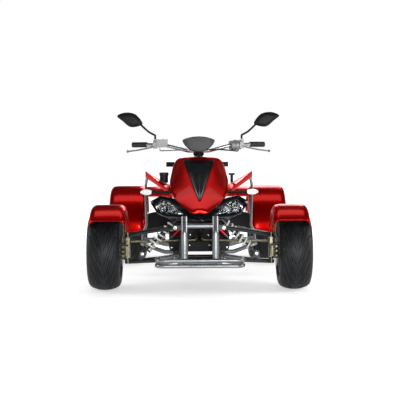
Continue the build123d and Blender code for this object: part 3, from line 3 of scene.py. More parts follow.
import bmesh
import bpy
import numpy as np
from bpy.props import FloatProperty, FloatVectorProperty, IntProperty, PointerProperty
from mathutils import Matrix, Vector


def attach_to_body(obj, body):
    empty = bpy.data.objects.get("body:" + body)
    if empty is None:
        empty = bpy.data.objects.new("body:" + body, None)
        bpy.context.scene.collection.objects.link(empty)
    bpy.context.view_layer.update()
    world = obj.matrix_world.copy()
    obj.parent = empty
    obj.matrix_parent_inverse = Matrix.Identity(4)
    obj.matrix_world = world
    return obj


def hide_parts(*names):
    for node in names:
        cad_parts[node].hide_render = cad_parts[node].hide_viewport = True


bl_info = {
    "name": "Sports quad bike dressing",
    "version": (1, 0, 0),
    "blender": (4, 5, 0),
    "location": "3D View > Sidebar > Quad bike",
    "description": "Dresses the packed frame of a road-going sports quad bike",
    "category": "Object",
}

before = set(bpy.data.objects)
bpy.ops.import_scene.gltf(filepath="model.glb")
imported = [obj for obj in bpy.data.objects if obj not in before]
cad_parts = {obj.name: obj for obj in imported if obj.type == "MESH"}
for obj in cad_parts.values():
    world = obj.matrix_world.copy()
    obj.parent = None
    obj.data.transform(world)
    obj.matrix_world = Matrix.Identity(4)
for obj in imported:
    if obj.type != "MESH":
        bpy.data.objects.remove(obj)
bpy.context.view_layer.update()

# The frame's own measures, in millimetres. "Behind" is measured from the front axle.
FRONT_AXLE_Y = -615.0
WHEELBASE = 1290.0
FRONT_AXLE_Z = 220.0
REAR_AXLE_Z = 230.0
FRONT_WHEEL_X = 530.0
REAR_WHEEL_X = 457.5
FRONT_TYRE = (180.0, 440.0)  # width, diameter
REAR_TYRE = (215.0, 460.0)
RIM_RADIUS = 127.0
WHEEL_NUTS = 5
SEAT_FLOOR_Z = 594.3
CLAMP_BEHIND = 318.56
CLAMP_Z = 780.37
POD_RISE = 36.0  # from the clamp to the middle of the gauge
STEM_UP = Vector((0, 0.483282, 0.875465))  # raked 28.9 degrees
SHOCK_TOP, SHOCK_FOOT = (112, 12, 406), (322, 12, 200)
REAR_SHOCK_TOP, REAR_SHOCK_FOOT = (0, 900, 520), (0, 1020, 300)
SPRING_RADIUS = 23.0
SPRING_WIRE = 5.2  # radius
SPRING_TURNS = 7
SPRING_START = 48.3  # from the damper's top to the upper seat
SPRING_END = 40.3  # from the lower seat to the damper's foot
CHAIN_PITCH = 15.875
NAMES = {1: "left", -1: "right"}

# The photograph's camera, worked out from the picture, in metres and degrees
PHOTO_PIXELS = 400
FOCAL_PIXELS = 1022
SENSOR_MM = 36.0
CAMERA_X = -0.055
CAMERA_AHEAD = 5.718  # of the front axle
CAMERA_Z = 0.9
CAMERA_TILT = 3.97
CAMERA_ROLL = 0.25
OFF_CENTRE = 0.00098  # sideways, per metre of distance


def behind_y(distance):
    """The Y in millimetres of a distance behind the front axle."""
    return FRONT_AXLE_Y + distance


def at_mm(x, behind, z):
    """A point in millimetres from its distance behind the front axle."""
    return Vector((x, behind_y(behind), z))


def wheel(end, side):
    """A wheel's middle in millimetres, its body, and its tyre's width and diameter."""
    if end == "front":
        return at_mm(side * FRONT_WHEEL_X, 0, FRONT_AXLE_Z), f"front_wheel_{NAMES[side]}", *FRONT_TYRE
    return at_mm(side * REAR_WHEEL_X, WHEELBASE, REAR_AXLE_Z), "rear_wheels", *REAR_TYRE


def linear(code):
    """The linear colour of an sRGB hex value."""
    parts = [int(code[i:i + 2], 16) / 255 for i in (1, 3, 5)]
    return tuple(p / 12.92 if p <= 0.04045 else ((p + 0.055) / 1.055) ** 2.4 for p in parts) + (1.0,)


def add_node(tree, kind, inputs=None, **settings):
    """Adds a node, sets it and fills its inputs with values or links."""
    node = tree.nodes.new(kind)
    for key, value in settings.items():
        setattr(node, key, value)
    for key, value in (inputs or {}).items():
        if isinstance(value, bpy.types.NodeSocket):
            tree.links.new(value, node.inputs[key])
        else:
            node.inputs[key].default_value = value
    return node


# Materials

def start_material(name, sockets):
    """A new material with one Principled shader."""
    material = bpy.data.materials.new(name)
    material.use_nodes = True
    tree = material.node_tree
    tree.nodes.clear()
    shader = add_node(tree, "ShaderNodeBsdfPrincipled", sockets)
    add_node(tree, "ShaderNodeOutputMaterial", {"Surface": shader.outputs["BSDF"]})
    return material, tree, shader


def grained(name, dark, light, grain_mm, roughness, relief_mm, sockets=None, stretch=(1, 1, 1),
            texture="ShaderNodeTexNoise", patch_mm=120.0):
    """A finish whose grain varies its colour, roughness and relief, over wider patches of tone."""
    material, tree, shader = start_material(name, sockets or {})
    coordinates = add_node(tree, "ShaderNodeTexCoord").outputs["Object"]
    scaled = add_node(tree, "ShaderNodeMapping", {"Vector": coordinates, "Scale": stretch}).outputs["Vector"]
    detail = {"Vector": scaled, "Scale": 1000 / grain_mm}
    if texture == "ShaderNodeTexNoise":
        detail["Detail"] = 4.0
        fine = add_node(tree, texture, detail).outputs["Fac"]
    else:
        fine = add_node(tree, texture, detail, feature="F1").outputs["Distance"]
    patches = add_node(
        tree, "ShaderNodeTexNoise", {"Vector": coordinates, "Scale": 1000 / patch_mm, "Detail": 2.0},
    ).outputs["Fac"]
    tone = add_node(
        tree, "ShaderNodeMath", {0: fine, 1: patches}, operation="ADD",
    ).outputs["Value"]
    share = add_node(
        tree, "ShaderNodeMapRange", {"Value": tone, "From Min": 0.7, "From Max": 1.3},
    ).outputs["Result"]
    colour = add_node(
        tree, "ShaderNodeMix", {"Factor": share, "A": linear(dark), "B": linear(light)}, data_type="RGBA",
    )
    tree.links.new(colour.outputs[2], shader.inputs["Base Color"])
    rough = add_node(
        tree, "ShaderNodeMapRange",
        {"Value": tone, "From Min": 0.6, "From Max": 1.4, "To Min": roughness[0], "To Max": roughness[1]},
    )
    tree.links.new(rough.outputs["Result"], shader.inputs["Roughness"])
    if relief_mm:
        relief = add_node(
            tree, "ShaderNodeBump", {"Height": fine, "Distance": relief_mm / 1000, "Strength": 1.0},
        )
        tree.links.new(relief.outputs["Normal"], shader.inputs["Normal"])
    return material


def make_materials():
    """Every finish of the quad bike, named by its real material and process."""
    made = {}

    def add(name, *looks, **more):
        made[name] = grained(name, *looks, **more)

    # Candy red lacquer over ABS: metallic and clear-coated, with fine flake that shows as a soft glow
    add(
        "candy_lacquered_abs", "#B00400", "#D00800", 1.6, (0.26, 0.32), 0.0,
        {
            "Metallic": 0.8, "Coat Weight": 0.2, "Coat Roughness": 0.04,
            "Specular Tint": (1.0, 0.2, 0.18, 1.0),
        }, patch_mm=260.0,
    )
    # Moulded black ABS panels: deep gloss with faint orange peel
    add(
        "gloss_moulded_abs", "#05080B", "#0A0F14", 6.0, (0.1, 0.18), 0.01,
        {"Specular IOR Level": 0.3, "Coat Weight": 0.5, "Coat Roughness": 0.05},
    )
    # Moulded polypropylene: satin black with spark-eroded grain
    add(
        "grained_polypropylene", "#060708", "#0E1011", 1.4, (0.42, 0.56), 0.06,
        {"Specular IOR Level": 0.25},
    )
    # Powder-coated tube: satin black, slight peel
    add(
        "powder_coated_tube", "#0B0C0D", "#17191A", 2.2, (0.3, 0.42), 0.05, {"Coat Weight": 0.15},
    )
    # Enamelled gunmetal bumper tube: glossy metallic grey
    add(
        "gunmetal_enamel", "#6C6F72", "#8E9194", 1.5, (0.24, 0.32), 0.0,
        {"Metallic": 0.75, "Coat Weight": 0.7, "Coat Roughness": 0.06},
    )
    # Painted suspension arms: plain dark grey gloss
    add(
        "grey_enamel", "#1E2122", "#2C3031", 2.0, (0.28, 0.4), 0.03,
        {"Metallic": 0.35, "Coat Weight": 0.3},
    )
    # Yellow-passivated zinc: straw and rose patches over bright steel
    add(
        "passivated_zinc", "#45412F", "#8E8770", 4.0, (0.25, 0.42), 0.02, {"Metallic": 0.9}, patch_mm=22.0,
    )
    # Chromed steel shafts and bolts
    add(
        "chromed_steel", "#BFC2C4", "#E4E6E8", 5.0, (0.08, 0.16), 0.0, {"Metallic": 1.0},
    )
    # White epoxy on the spring wire
    add(
        "white_epoxy", "#F0F1F2", "#FFFFFF", 8.0, (0.18, 0.28), 0.0, {"Coat Weight": 0.5},
    )
    # Polished aluminium bar and levers: bright with fine drawn lines
    add(
        "polished_aluminium", "#9B9FA2", "#D6D9DB", 1.2, (0.2, 0.32), 0.01, {"Metallic": 1.0},
        stretch=(0.2, 1, 1),
    )
    # Sand-cast aluminium: grainy, dull silver
    add(
        "cast_aluminium", "#6E7173", "#A2A5A7", 1.8, (0.42, 0.6), 0.12, {"Metallic": 0.85},
    )
    # Heat-resistant black paint on the engine castings
    add(
        "painted_casting", "#131415", "#232526", 1.9, (0.45, 0.62), 0.14, {"Metallic": 0.2},
    )
    # Brushed stainless steel of the exhaust
    add(
        "brushed_stainless", "#77787A", "#B5B6B8", 1.0, (0.24, 0.38), 0.01, {"Metallic": 1.0},
        stretch=(1, 0.12, 1),
    )
    # Ground steel of sprockets, discs and axle
    add(
        "ground_steel", "#6B6C6E", "#A7A8AA", 1.0, (0.26, 0.42), 0.02, {"Metallic": 1.0},
    )
    # Oiled roller chain
    add(
        "oiled_steel", "#2B2925", "#6A645A", 3.0, (0.3, 0.5), 0.03, {"Metallic": 0.9}, patch_mm=30.0,
    )
    # Natural tyre rubber: near black, a little dusty
    add(
        "tyre_rubber", "#090B0D", "#14171A", 2.4, (0.42, 0.6), 0.08, {"Specular IOR Level": 0.35},
        patch_mm=60.0,
    )
    # Ribbed grip rubber
    add("grip_rubber", "#0B0C0D", "#16181A", 1.5, (0.5, 0.66), 0.08)
    # Vinyl seat cover: pebbled leather grain, drawn 2.8 mm wide so that it shows
    add(
        "grained_vinyl", "#0E0F10", "#1B1C1E", 2.8, (0.42, 0.58), 0.22, texture="ShaderNodeTexVoronoi",
    )
    # Red-anodised aluminium fluid reservoirs
    add(
        "red_anodised_aluminium", "#7E0A14", "#B01222", 1.2, (0.22, 0.34), 0.01, {"Metallic": 0.9},
        stretch=(1, 1, 0.2),
    )
    # Braided steel hose under clear sheath
    add(
        "braided_steel", "#76797B", "#C9CCCE", 2.0, (0.22, 0.4), 0.1, {"Metallic": 0.9},
        texture="ShaderNodeTexVoronoi",
    )
    # Radiator core: black-painted aluminium fins
    add("black_fins", "#08090A", "#131516", 2.0, (0.4, 0.55), 0.05, {"Metallic": 0.4})
    # Vacuum-metallised reflector of a headlamp
    add(
        "metallised_reflector", "#8A8D8F", "#E2E3E4", 9.0, (0.05, 0.14), 0.0, {"Metallic": 1.0},
    )
    # Clear polycarbonate lens
    add(
        "clear_polycarbonate", "#F3F4F4", "#FCFCFC", 12.0, (0.02, 0.05), 0.0,
        {"Transmission Weight": 1.0, "IOR": 1.2},
    )
    # White frosted indicator lens with a clear skin
    add(
        "frosted_polycarbonate", "#D7D9D8", "#F4F5F4", 3.0, (0.12, 0.22), 0.06,
        {"Coat Weight": 0.8, "Subsurface Weight": 0.2, "Subsurface Radius": (0.006, 0.006, 0.006)},
    )
    # Red acrylic tail lamp lens with moulded prisms
    add(
        "red_acrylic", "#7C0306", "#B5090C", 5.0, (0.08, 0.16), 0.12, {"Coat Weight": 1.0},
        texture="ShaderNodeTexVoronoi",
    )
    # Amber acrylic of the rear indicators
    add(
        "amber_acrylic", "#C24E08", "#E87A12", 5.0, (0.1, 0.18), 0.12, {"Coat Weight": 1.0},
        texture="ShaderNodeTexVoronoi",
    )
    # Satin grey paint over the moulded instrument housing
    add(
        "satin_painted_abs", "#2A2D30", "#3A3E41", 1.6, (0.4, 0.5), 0.02, {"Specular IOR Level": 0.4},
    )
    # Dark glass over the gauge
    add(
        "smoked_glass", "#050607", "#0B0D10", 40.0, (0.02, 0.05), 0.0, {"Coat Weight": 1.0},
    )
    # Silvered mirror glass
    add(
        "silvered_glass", "#C4CACC", "#DDE2E4", 60.0, (0.01, 0.03), 0.0, {"Metallic": 1.0},
    )
    return made


MATERIALS = {}
# The CAD nodes that have each finish
NODE_FINISHES = {
    "powder_coated_tube": ("frame", "dampers", "steering_stem"),
    "cast_aluminium": (
        "skid_plate", "foot_pegs", "controls", "front_rim_left", "front_rim_right", "rear_rims",
    ),
    "gunmetal_enamel": ("bumper", "leg_guards"),
    "grey_enamel": ("suspension_arms", "swing_arm"),
    "white_epoxy": ("coil_springs",),
    "candy_lacquered_abs": (
        "nose_cowl", "side_wings", "tank_cover", "tail_cowl", "rear_fenders", "front_fender_left",
        "front_fender_right",
    ),
    "gloss_moulded_abs": ("nose_shield", "mirrors"),
    "grained_polypropylene": (
        "lamp_housing", "instrument_pod", "indicator_stalks", "wing_fittings", "airbox", "splash_panel",
    ),
    "clear_polycarbonate": ("headlamp_lenses",),
    "grained_vinyl": ("seat",),
    "red_acrylic": ("tail_lamp",),
    "painted_casting": ("engine", "calliper_left", "calliper_right"),
    "black_fins": ("radiator",),
    "brushed_stainless": ("exhaust",),
    "oiled_steel": ("drive_chain",),
    "polished_aluminium": ("handlebar",),
    "grip_rubber": ("grips", "coolant_hoses", "control_cables"),
    "passivated_zinc": ("knuckle_left", "knuckle_right", "tie_rod_left", "tie_rod_right", "rear_calliper"),
    "tyre_rubber": ("front_tyre_left", "front_tyre_right", "rear_tyres"),
    "ground_steel": ("front_hub_left", "front_hub_right", "rear_axle"),
    "frosted_polycarbonate": ("front_indicators",),
    "amber_acrylic": ("rear_indicators",),
    "braided_steel": ("brake_hose",),
}


# Mesh tools

def new_piece(name, mesh, finish):
    """An object at the origin with one finish."""
    piece = bpy.data.objects.new(name, mesh)
    bpy.context.scene.collection.objects.link(piece)
    mesh.materials.clear()
    mesh.materials.append(MATERIALS[finish])
    return piece


def skin(rows, closed=False, caps=(False, False)):
    """A bmesh of quads between rows of points in millimetres; closed rows join their ends."""
    shape = bmesh.new()
    grid = [[shape.verts.new(Vector(point) / 1000) for point in row] for row in rows]
    count = len(rows[0])
    reach = count if closed else count - 1
    for low, high in zip(grid, grid[1:]):
        for i in range(reach):
            j = (i + 1) % count
            shape.faces.new((low[i], low[j], high[j], high[i]))
    if caps[0]:
        shape.faces.new(grid[0][::-1])
    if caps[1]:
        shape.faces.new(grid[-1])
    return shape


def meshed(shape, name):
    """A mesh with a bmesh's faces; the bmesh is freed."""
    mesh = bpy.data.meshes.new(name)
    shape.to_mesh(mesh)
    shape.free()
    return mesh


def settle(shape, name, finish, smooth=40.0):
    """Turns a bmesh into a piece with outward faces and smooth shading below an angle."""
    bmesh.ops.remove_doubles(shape, verts=shape.verts, dist=0.00001)
    bmesh.ops.recalc_face_normals(shape, faces=shape.faces)
    return shaded(new_piece(name, meshed(shape, name), finish), smooth)


def shaded(piece, smooth):
    """Smooth shading with sharp edges above an angle in degrees."""
    mesh = piece.data
    mesh.polygons.foreach_set("use_smooth", [True] * len(mesh.polygons))
    mesh.set_sharp_from_angle(angle=math.radians(smooth))
    return piece


def bake_modifiers(piece, smooth=40.0):
    """Replaces a piece's mesh by the plain result of its modifiers."""
    bpy.context.view_layer.update()
    evaluated = piece.evaluated_get(bpy.context.evaluated_depsgraph_get())
    mesh = bpy.data.meshes.new_from_object(evaluated)
    piece.modifiers.clear()
    old = piece.data
    piece.data = mesh
    mesh.name = piece.name
    bpy.data.meshes.remove(old)
    return shaded(piece, smooth)


def modified(piece, kind, **settings):
    """Adds a modifier with its settings."""
    modifier = piece.modifiers.new(kind.lower(), kind)
    for key, value in settings.items():
        setattr(modifier, key, value)
    return piece


def rounded(piece, width_mm, segments=3, levels=0, smooth=40.0, angle=30.0):
    """Bevels a piece's sharp edges, with subdivision after it where asked."""
    modified(
        piece, "BEVEL", width=width_mm / 1000, segments=segments, limit_method="ANGLE",
        angle_limit=math.radians(angle), harden_normals=False,
    )
    if levels:
        modified(piece, "SUBSURF", levels=levels, render_levels=levels)
    return bake_modifiers(piece, smooth)


def walled(piece, wall_mm, levels=2, edge_mm=0.0, smooth=50.0):
    """Gives a sheet its wall, inwards, and subdivides it."""
    modified(piece, "SOLIDIFY", thickness=wall_mm / 1000, offset=-1.0)
    if edge_mm:
        modified(
            piece, "BEVEL", width=edge_mm / 1000, segments=2, limit_method="ANGLE",
            angle_limit=math.radians(60),
        )
    modified(piece, "SUBSURF", levels=levels, render_levels=levels)
    return bake_modifiers(piece, smooth)


def mirrored(shape):
    """Adds to a bmesh its mirror image across the middle plane."""
    twin = bmesh.ops.duplicate(shape, geom=shape.verts[:] + shape.edges[:] + shape.faces[:])["geom"]
    verts = [item for item in twin if isinstance(item, bmesh.types.BMVert)]
    for vert in verts:
        vert.co.x = -vert.co.x
    faces = [item for item in twin if isinstance(item, bmesh.types.BMFace)]
    bmesh.ops.reverse_faces(shape, faces=faces)
    return shape


def lathe(shape, start, axis, profile, steps=32, hollow=False):
    """Adds a turned solid from distances along the axis and radii in mm; a hollow one is a ring."""
    axis = Vector(axis).normalized()
    side = axis.orthogonal().normalized()
    other = axis.cross(side)
    rings = []
    for along, radius in profile:
        centre = Vector(start) + axis * along
        if radius < 0.01:
            rings.append([shape.verts.new(centre / 1000)])
            continue
        ring = []
        for step in range(steps):
            angle = 2 * math.pi * step / steps
            point = centre + (side * math.cos(angle) + other * math.sin(angle)) * radius
            ring.append(shape.verts.new(point / 1000))
        rings.append(ring)
    if hollow:
        rings.append(rings[0])
    for low, high in zip(rings, rings[1:]):
        for i in range(steps):
            j = (i + 1) % steps
            if len(low) == 1 and len(high) == 1:
                continue
            if len(low) == 1:
                shape.faces.new((low[0], high[j], high[i]))
            elif len(high) == 1:
                shape.faces.new((low[i], low[j], high[0]))
            else:
                shape.faces.new((low[i], low[j], high[j], high[i]))
    if not hollow and len(rings[0]) > 1:
        shape.faces.new(rings[0][::-1])
    if not hollow and len(rings[-1]) > 1:
        shape.faces.new(rings[-1])
    return shape


def spline_run(a, b, c, d, steps):
    """Points from b up to c on the smooth curve through a, b, c and d."""
    return [
        0.5 * (2 * b + (c - a) * t + (2 * a - 5 * b + 4 * c - d) * t * t
               + (3 * b - a - 3 * c + d) * t * t * t)
        for t in (step / steps for step in range(steps))
    ]


def smooth_loop(points, count):
    """A closed smooth loop through 2-D points, resampled by length."""
    dense = []
    size = len(points)
    for i in range(size):
        dense += spline_run(*(Vector(points[(i + k) % size]) for k in (-1, 0, 1, 2)), 12)
    return resampled(dense, count)


def resampled(points, count):
    """Points at even lengths round a closed loop, from its first point."""
    size = len(points)
    lengths = [(points[(i + 1) % size] - points[i]).length for i in range(size)]
    total = sum(lengths)
    result = []
    index, passed = 0, 0.0
    for step in range(count):
        target = total * step / count
        while passed + lengths[index] < target - 1e-9:
            passed += lengths[index]
            index += 1
        share = (target - passed) / lengths[index]
        result.append(points[index].lerp(points[(index + 1) % size], share))
    return result


def coordinates(piece):
    """A piece's points, a row each."""
    flat = np.zeros(len(piece.data.vertices) * 3)
    piece.data.vertices.foreach_get("co", flat)
    return flat.reshape(-1, 3)


def settle_on(piece, body, slot, *nodes):
    """Lets a piece ride on its body and stand for CAD nodes; the slot is not used."""
    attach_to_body(piece, body)
    if nodes:
        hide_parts(*nodes)
    return piece


# Geometry Nodes

def new_tree(name, inputs):
    """A geometry tree with named inputs besides its geometry."""
    tree = bpy.data.node_groups.new(name, "GeometryNodeTree")
    tree.interface.new_socket("Geometry", in_out="INPUT", socket_type="NodeSocketGeometry")
    for label, kind in inputs:
        tree.interface.new_socket(label, in_out="INPUT", socket_type=kind)
    tree.interface.new_socket("Geometry", in_out="OUTPUT", socket_type="NodeSocketGeometry")
    return tree, add_node(tree, "NodeGroupInput")


def close_tree(tree, source, geometry):
    """Ends a tree in Realize Instances and Set Material."""
    real = add_node(tree, "GeometryNodeRealizeInstances", {"Geometry": geometry})
    dressed = add_node(
        tree, "GeometryNodeSetMaterial",
        {"Geometry": real.outputs["Geometry"], "Material": source.outputs["Material"]},
    )
    add_node(tree, "NodeGroupOutput", {"Geometry": dressed.outputs["Geometry"]})
    return tree


def ring_tree():
    """Repeats a segment round an axis along X through a centre."""
    tree, source = new_tree(
        "ring_of_segments",
        (("Count", "NodeSocketInt"), ("Centre", "NodeSocketVector"), ("Material", "NodeSocketMaterial")),
    )
    line = add_node(
        tree, "GeometryNodeMeshLine", {"Count": source.outputs["Count"], "Offset": (0, 0, 0)},
    )
    index = add_node(tree, "GeometryNodeInputIndex")
    turn = add_node(
        tree, "ShaderNodeMath", {0: index.outputs["Index"], 1: 2 * math.pi}, operation="MULTIPLY",
    )
    angle = add_node(
        tree, "ShaderNodeMath", {0: turn.outputs["Value"], 1: source.outputs["Count"]}, operation="DIVIDE",
    )
    rotation = add_node(tree, "ShaderNodeCombineXYZ", {"X": angle.outputs["Value"]})
    back = add_node(
        tree, "ShaderNodeVectorMath", {0: source.outputs["Centre"], "Scale": -1.0}, operation="SCALE",
    )
    centred = add_node(
        tree, "GeometryNodeTransform",
        {"Geometry": source.outputs["Geometry"], "Translation": back.outputs["Vector"]},
    )
    copies = add_node(
        tree, "GeometryNodeInstanceOnPoints",
        {
            "Points": line.outputs["Mesh"], "Instance": centred.outputs["Geometry"],
            "Rotation": rotation.outputs["Vector"],
        },
    )
    real = add_node(tree, "GeometryNodeRealizeInstances", {"Geometry": copies.outputs["Instances"]})
    joined = add_node(
        tree, "GeometryNodeMergeByDistance", {"Geometry": real.outputs["Geometry"], "Distance": 0.00005},
    )
    placed = add_node(
        tree, "GeometryNodeTransform",
        {"Geometry": joined.outputs["Geometry"], "Translation": source.outputs["Centre"]},
    )
    return close_tree(tree, source, placed.outputs["Geometry"])


def row_tree():
    """Repeats a piece in a straight row."""
    tree, source = new_tree(
        "row_of_fins",
        (("Count", "NodeSocketInt"), ("Step", "NodeSocketVector"), ("Material", "NodeSocketMaterial")),
    )
    line = add_node(
        tree, "GeometryNodeMeshLine",
        {"Count": source.outputs["Count"], "Offset": source.outputs["Step"]},
    )
    copies = add_node(
        tree, "GeometryNodeInstanceOnPoints",
        {"Points": line.outputs["Mesh"], "Instance": source.outputs["Geometry"]},
    )
    return close_tree(tree, source, copies.outputs["Instances"])


def fastener_tree():
    """Sets a fastener on every point, turned to the point's facing."""
    tree, source = new_tree(
        "fasteners_on_points", (("Fastener", "NodeSocketObject"), ("Material", "NodeSocketMaterial")),
    )
    shape = add_node(tree, "GeometryNodeObjectInfo", {"Object": source.outputs["Fastener"]})
    facing = add_node(
        tree, "GeometryNodeInputNamedAttribute", {"Name": "facing"}, data_type="FLOAT_VECTOR",
    )
    size = add_node(tree, "GeometryNodeInputNamedAttribute", {"Name": "size"}, data_type="FLOAT")
    turned = add_node(
        tree, "FunctionNodeAlignRotationToVector", {"Vector": facing.outputs["Attribute"]}, axis="Z",
    )
    copies = add_node(
        tree, "GeometryNodeInstanceOnPoints",
        {
            "Points": source.outputs["Geometry"], "Instance": shape.outputs["Geometry"],
            "Rotation": turned.outputs["Rotation"], "Scale": size.outputs["Attribute"],
        },
    )
    return close_tree(tree, source, copies.outputs["Instances"])


def chain_tree():
    """Sets links of two kinds in turn along a closed curve."""
    tree, source = new_tree(
        "links_along_a_curve",
        (
            ("Count", "NodeSocketInt"), ("Inner link", "NodeSocketObject"),
            ("Outer link", "NodeSocketObject"), ("Material", "NodeSocketMaterial"),
        ),
    )
    points = add_node(
        tree, "GeometryNodeResampleCurve",
        {"Curve": source.outputs["Geometry"], "Count": source.outputs["Count"]},
    )
    tangent = add_node(tree, "GeometryNodeInputTangent")
    turned = add_node(
        tree, "FunctionNodeAlignRotationToVector", {"Vector": tangent.outputs["Tangent"]},
        axis="Y", pivot_axis="X",
    )
    index = add_node(tree, "GeometryNodeInputIndex")
    odd = add_node(tree, "ShaderNodeMath", {0: index.outputs["Index"], 1: 2.0}, operation="MODULO")
    even = add_node(tree, "ShaderNodeMath", {0: 1.0, 1: odd.outputs["Value"]}, operation="SUBTRACT")
    joined = add_node(tree, "GeometryNodeJoinGeometry")
    for label, chosen in (("Inner link", odd), ("Outer link", even)):
        link = add_node(tree, "GeometryNodeObjectInfo", {"Object": source.outputs[label]})
        copies = add_node(
            tree, "GeometryNodeInstanceOnPoints",
            {
                "Points": points.outputs["Curve"], "Selection": chosen.outputs["Value"],
                "Instance": link.outputs["Geometry"], "Rotation": turned.outputs["Rotation"],
            },
        )
        tree.links.new(copies.outputs["Instances"], joined.inputs["Geometry"])
    return close_tree(tree, source, joined.outputs["Geometry"])


TREES = {}


def attach(carrier, tree, finish, **values):
    """Gives an object a tree, whose inputs are set by their sockets' identifiers."""
    modifier = carrier.modifiers.new(tree, "NODES")
    modifier.node_group = TREES[tree]
    named = {
        item.name: item.identifier
        for item in TREES[tree].interface.items_tree
        if item.item_type == "SOCKET" and item.in_out == "INPUT"
    }
    modifier[named["Material"]] = MATERIALS[finish]
    for key, value in values.items():
        modifier[named[key.replace("_", " ")]] = value


def grow(piece, tree, finish, smooth=40.0, **values):
    """Runs a tree on a piece and leaves its plain mesh."""
    attach(piece, tree, finish, **values)
    return bake_modifiers(piece, smooth)


def hidden_source(shape, name):
    """A hidden object that a tree copies."""
    source = bpy.data.objects.new(name, meshed(shape, name))
    bpy.context.scene.collection.objects.link(source)
    return source


def fasteners(name, rows, finish, body, slot, kind="button"):
    """Screw heads on points: rows give a point, a facing and a head radius, all in millimetres."""
    head = bmesh.new()
    if kind == "hex":
        lathe(head, (0, 0, 0), (0, 0, 1), ((-2, 1.25), (0, 1.25), (0, 1.0), (0.7, 1.0), (0.8, 0.8)), 6)
    else:
        lathe(
            head, (0, 0, 0), (0, 0, 1),
            ((-1, 1.0), (0.25, 1.0), (0.6, 0.75), (0.7, 0.42), (0.25, 0.4), (0.25, 0)), 12,
        )
    source = hidden_source(head, name + "_head")
    mesh = bpy.data.meshes.new(name)
    mesh.from_pydata([Vector(point) / 1000 for point, _, _ in rows], [], [])
    facing = mesh.attributes.new("facing", "FLOAT_VECTOR", "POINT")
    facing.data.foreach_set(
        "vector", [c for _, direction, _ in rows for c in Vector(direction).normalized()],
    )
    size = mesh.attributes.new("size", "FLOAT", "POINT")
    size.data.foreach_set("value", [float(radius) for _, _, radius in rows])
    piece = new_piece(name, mesh, finish)
    grow(piece, "fasteners_on_points", finish, Fastener=source)
    bpy.data.objects.remove(source)
    return settle_on(piece, body, slot)


def arc_points(a, b, c, steps):
    """Points of the circle's arc from a to c through b, in a plane."""
    (ax, ay), (bx, by), (cx, cy) = a, b, c
    d = 2 * (ax * (by - cy) + bx * (cy - ay) + cx * (ay - by))
    aa, bb, cc = (x * x + y * y for x, y in (a, b, c))
    ux = (aa * (by - cy) + bb * (cy - ay) + cc * (ay - by)) / d
    uy = (aa * (cx - bx) + bb * (ax - cx) + cc * (bx - ax)) / d
    radius = math.hypot(ax - ux, ay - uy)
    first = math.atan2(ay - uy, ax - ux)
    middle = (math.atan2(by - uy, bx - ux) - first) % (2 * math.pi)
    last = (math.atan2(cy - uy, cx - ux) - first) % (2 * math.pi)
    if middle > last:
        last -= 2 * math.pi
    return [
        (ux + radius * math.cos(first + last * i / steps), uy + radius * math.sin(first + last * i / steps))
        for i in range(steps + 1)
    ]


def pipe(shape, points, radius, closed=False, sides=8):
    """Adds a round pipe along points in millimetres to a bmesh."""
    line = [Vector(point) for point in points]
    size = len(line)
    rings = []
    side = None
    for i, here in enumerate(line):
        if closed:
            run = line[(i + 1) % size] - line[i - 1]
        else:
            run = line[min(i + 1, size - 1)] - line[max(i - 1, 0)]
        run.normalize()
        if side is None:
            side = run.orthogonal()
        side = (side - run * side.dot(run)).normalized()
        up = run.cross(side)
        turns = [2 * math.pi * k / sides for k in range(sides)]
        rings.append([
            shape.verts.new((here + (side * math.cos(turn) + up * math.sin(turn)) * radius) / 1000)
            for turn in turns
        ])
    pairs = list(zip(rings, rings[1:]))
    if closed:
        pairs.append((rings[-1], rings[0]))
    for low, high in pairs:
        for k in range(sides):
            j = (k + 1) % sides
            shape.faces.new((low[k], low[j], high[j], high[k]))
    if not closed:
        shape.faces.new(rings[0][::-1])
        shape.faces.new(rings[-1])
    return shape


def curve_through(points, steps=8):
    """A smooth open line through points."""
    line = [Vector(point) for point in points]
    result = []
    for i in range(len(line) - 1):
        before, after = line[max(i - 1, 0)], line[min(i + 2, len(line) - 1)]
        result += spline_run(before, line[i], line[i + 1], after, steps)
    return result + [line[-1]]


def ring_points(centre, radius, count, turn=0.0):
    """Points round an axis along X, from the top, in millimetres."""
    angles = [2 * math.pi * (k + turn) / count for k in range(count)]
    return [centre + Vector((0, radius * math.sin(angle), radius * math.cos(angle))) for angle in angles]


def box_shape(shape, low, high):
    """Adds a closed box between two corners in millimetres to a bmesh."""
    corners = [
        shape.verts.new(Vector((x, y, z)) / 1000)
        for x in (low[0], high[0]) for y in (low[1], high[1]) for z in (low[2], high[2])
    ]
    for face in ((0, 1, 3, 2), (4, 6, 7, 5), (0, 4, 5, 1), (2, 3, 7, 6), (0, 2, 6, 4), (1, 5, 7, 3)):
        shape.faces.new([corners[i] for i in face])
    return shape


# Sizes and colours that a user would change

class QuadSettings(bpy.types.PropertyGroup):
    """Sizes of the pieces that dress the quad bike."""
    tread_depth: FloatProperty(
        name="Tread depth", description="Depth of the tread slits", default=0.006, unit="LENGTH",
    )
    tread_slope: FloatProperty(
        name="Tread slope", description="How far a slit runs round the tyre for its run across", default=3.4,
    )
    tread_segments: IntProperty(
        name="Tread segments", description="Segments round a tyre, with two slits a side each", default=17,
    )
    fender_corner: FloatProperty(
        name="Fender corner", description="Radius between a fender's top and its sides", default=0.034,
        unit="LENGTH",
    )
    fender_bead: FloatProperty(
        name="Fender bead", description="Radius of the rolled edge of the fenders", default=0.0035,
        unit="LENGTH",
    )
    seat_swell: FloatProperty(
        name="Seat swell", description="How far the seat's cover may swell", default=0.009, unit="LENGTH",
    )
    floor_colour: FloatVectorProperty(
        name="Floor colour", description="Colour of the studio floor", subtype="COLOR", size=3,
        default=(0.86, 0.86, 0.86),
    )


def quad_settings():
    """The scene's settings."""
    return bpy.context.scene.quad_settings


# Pieces

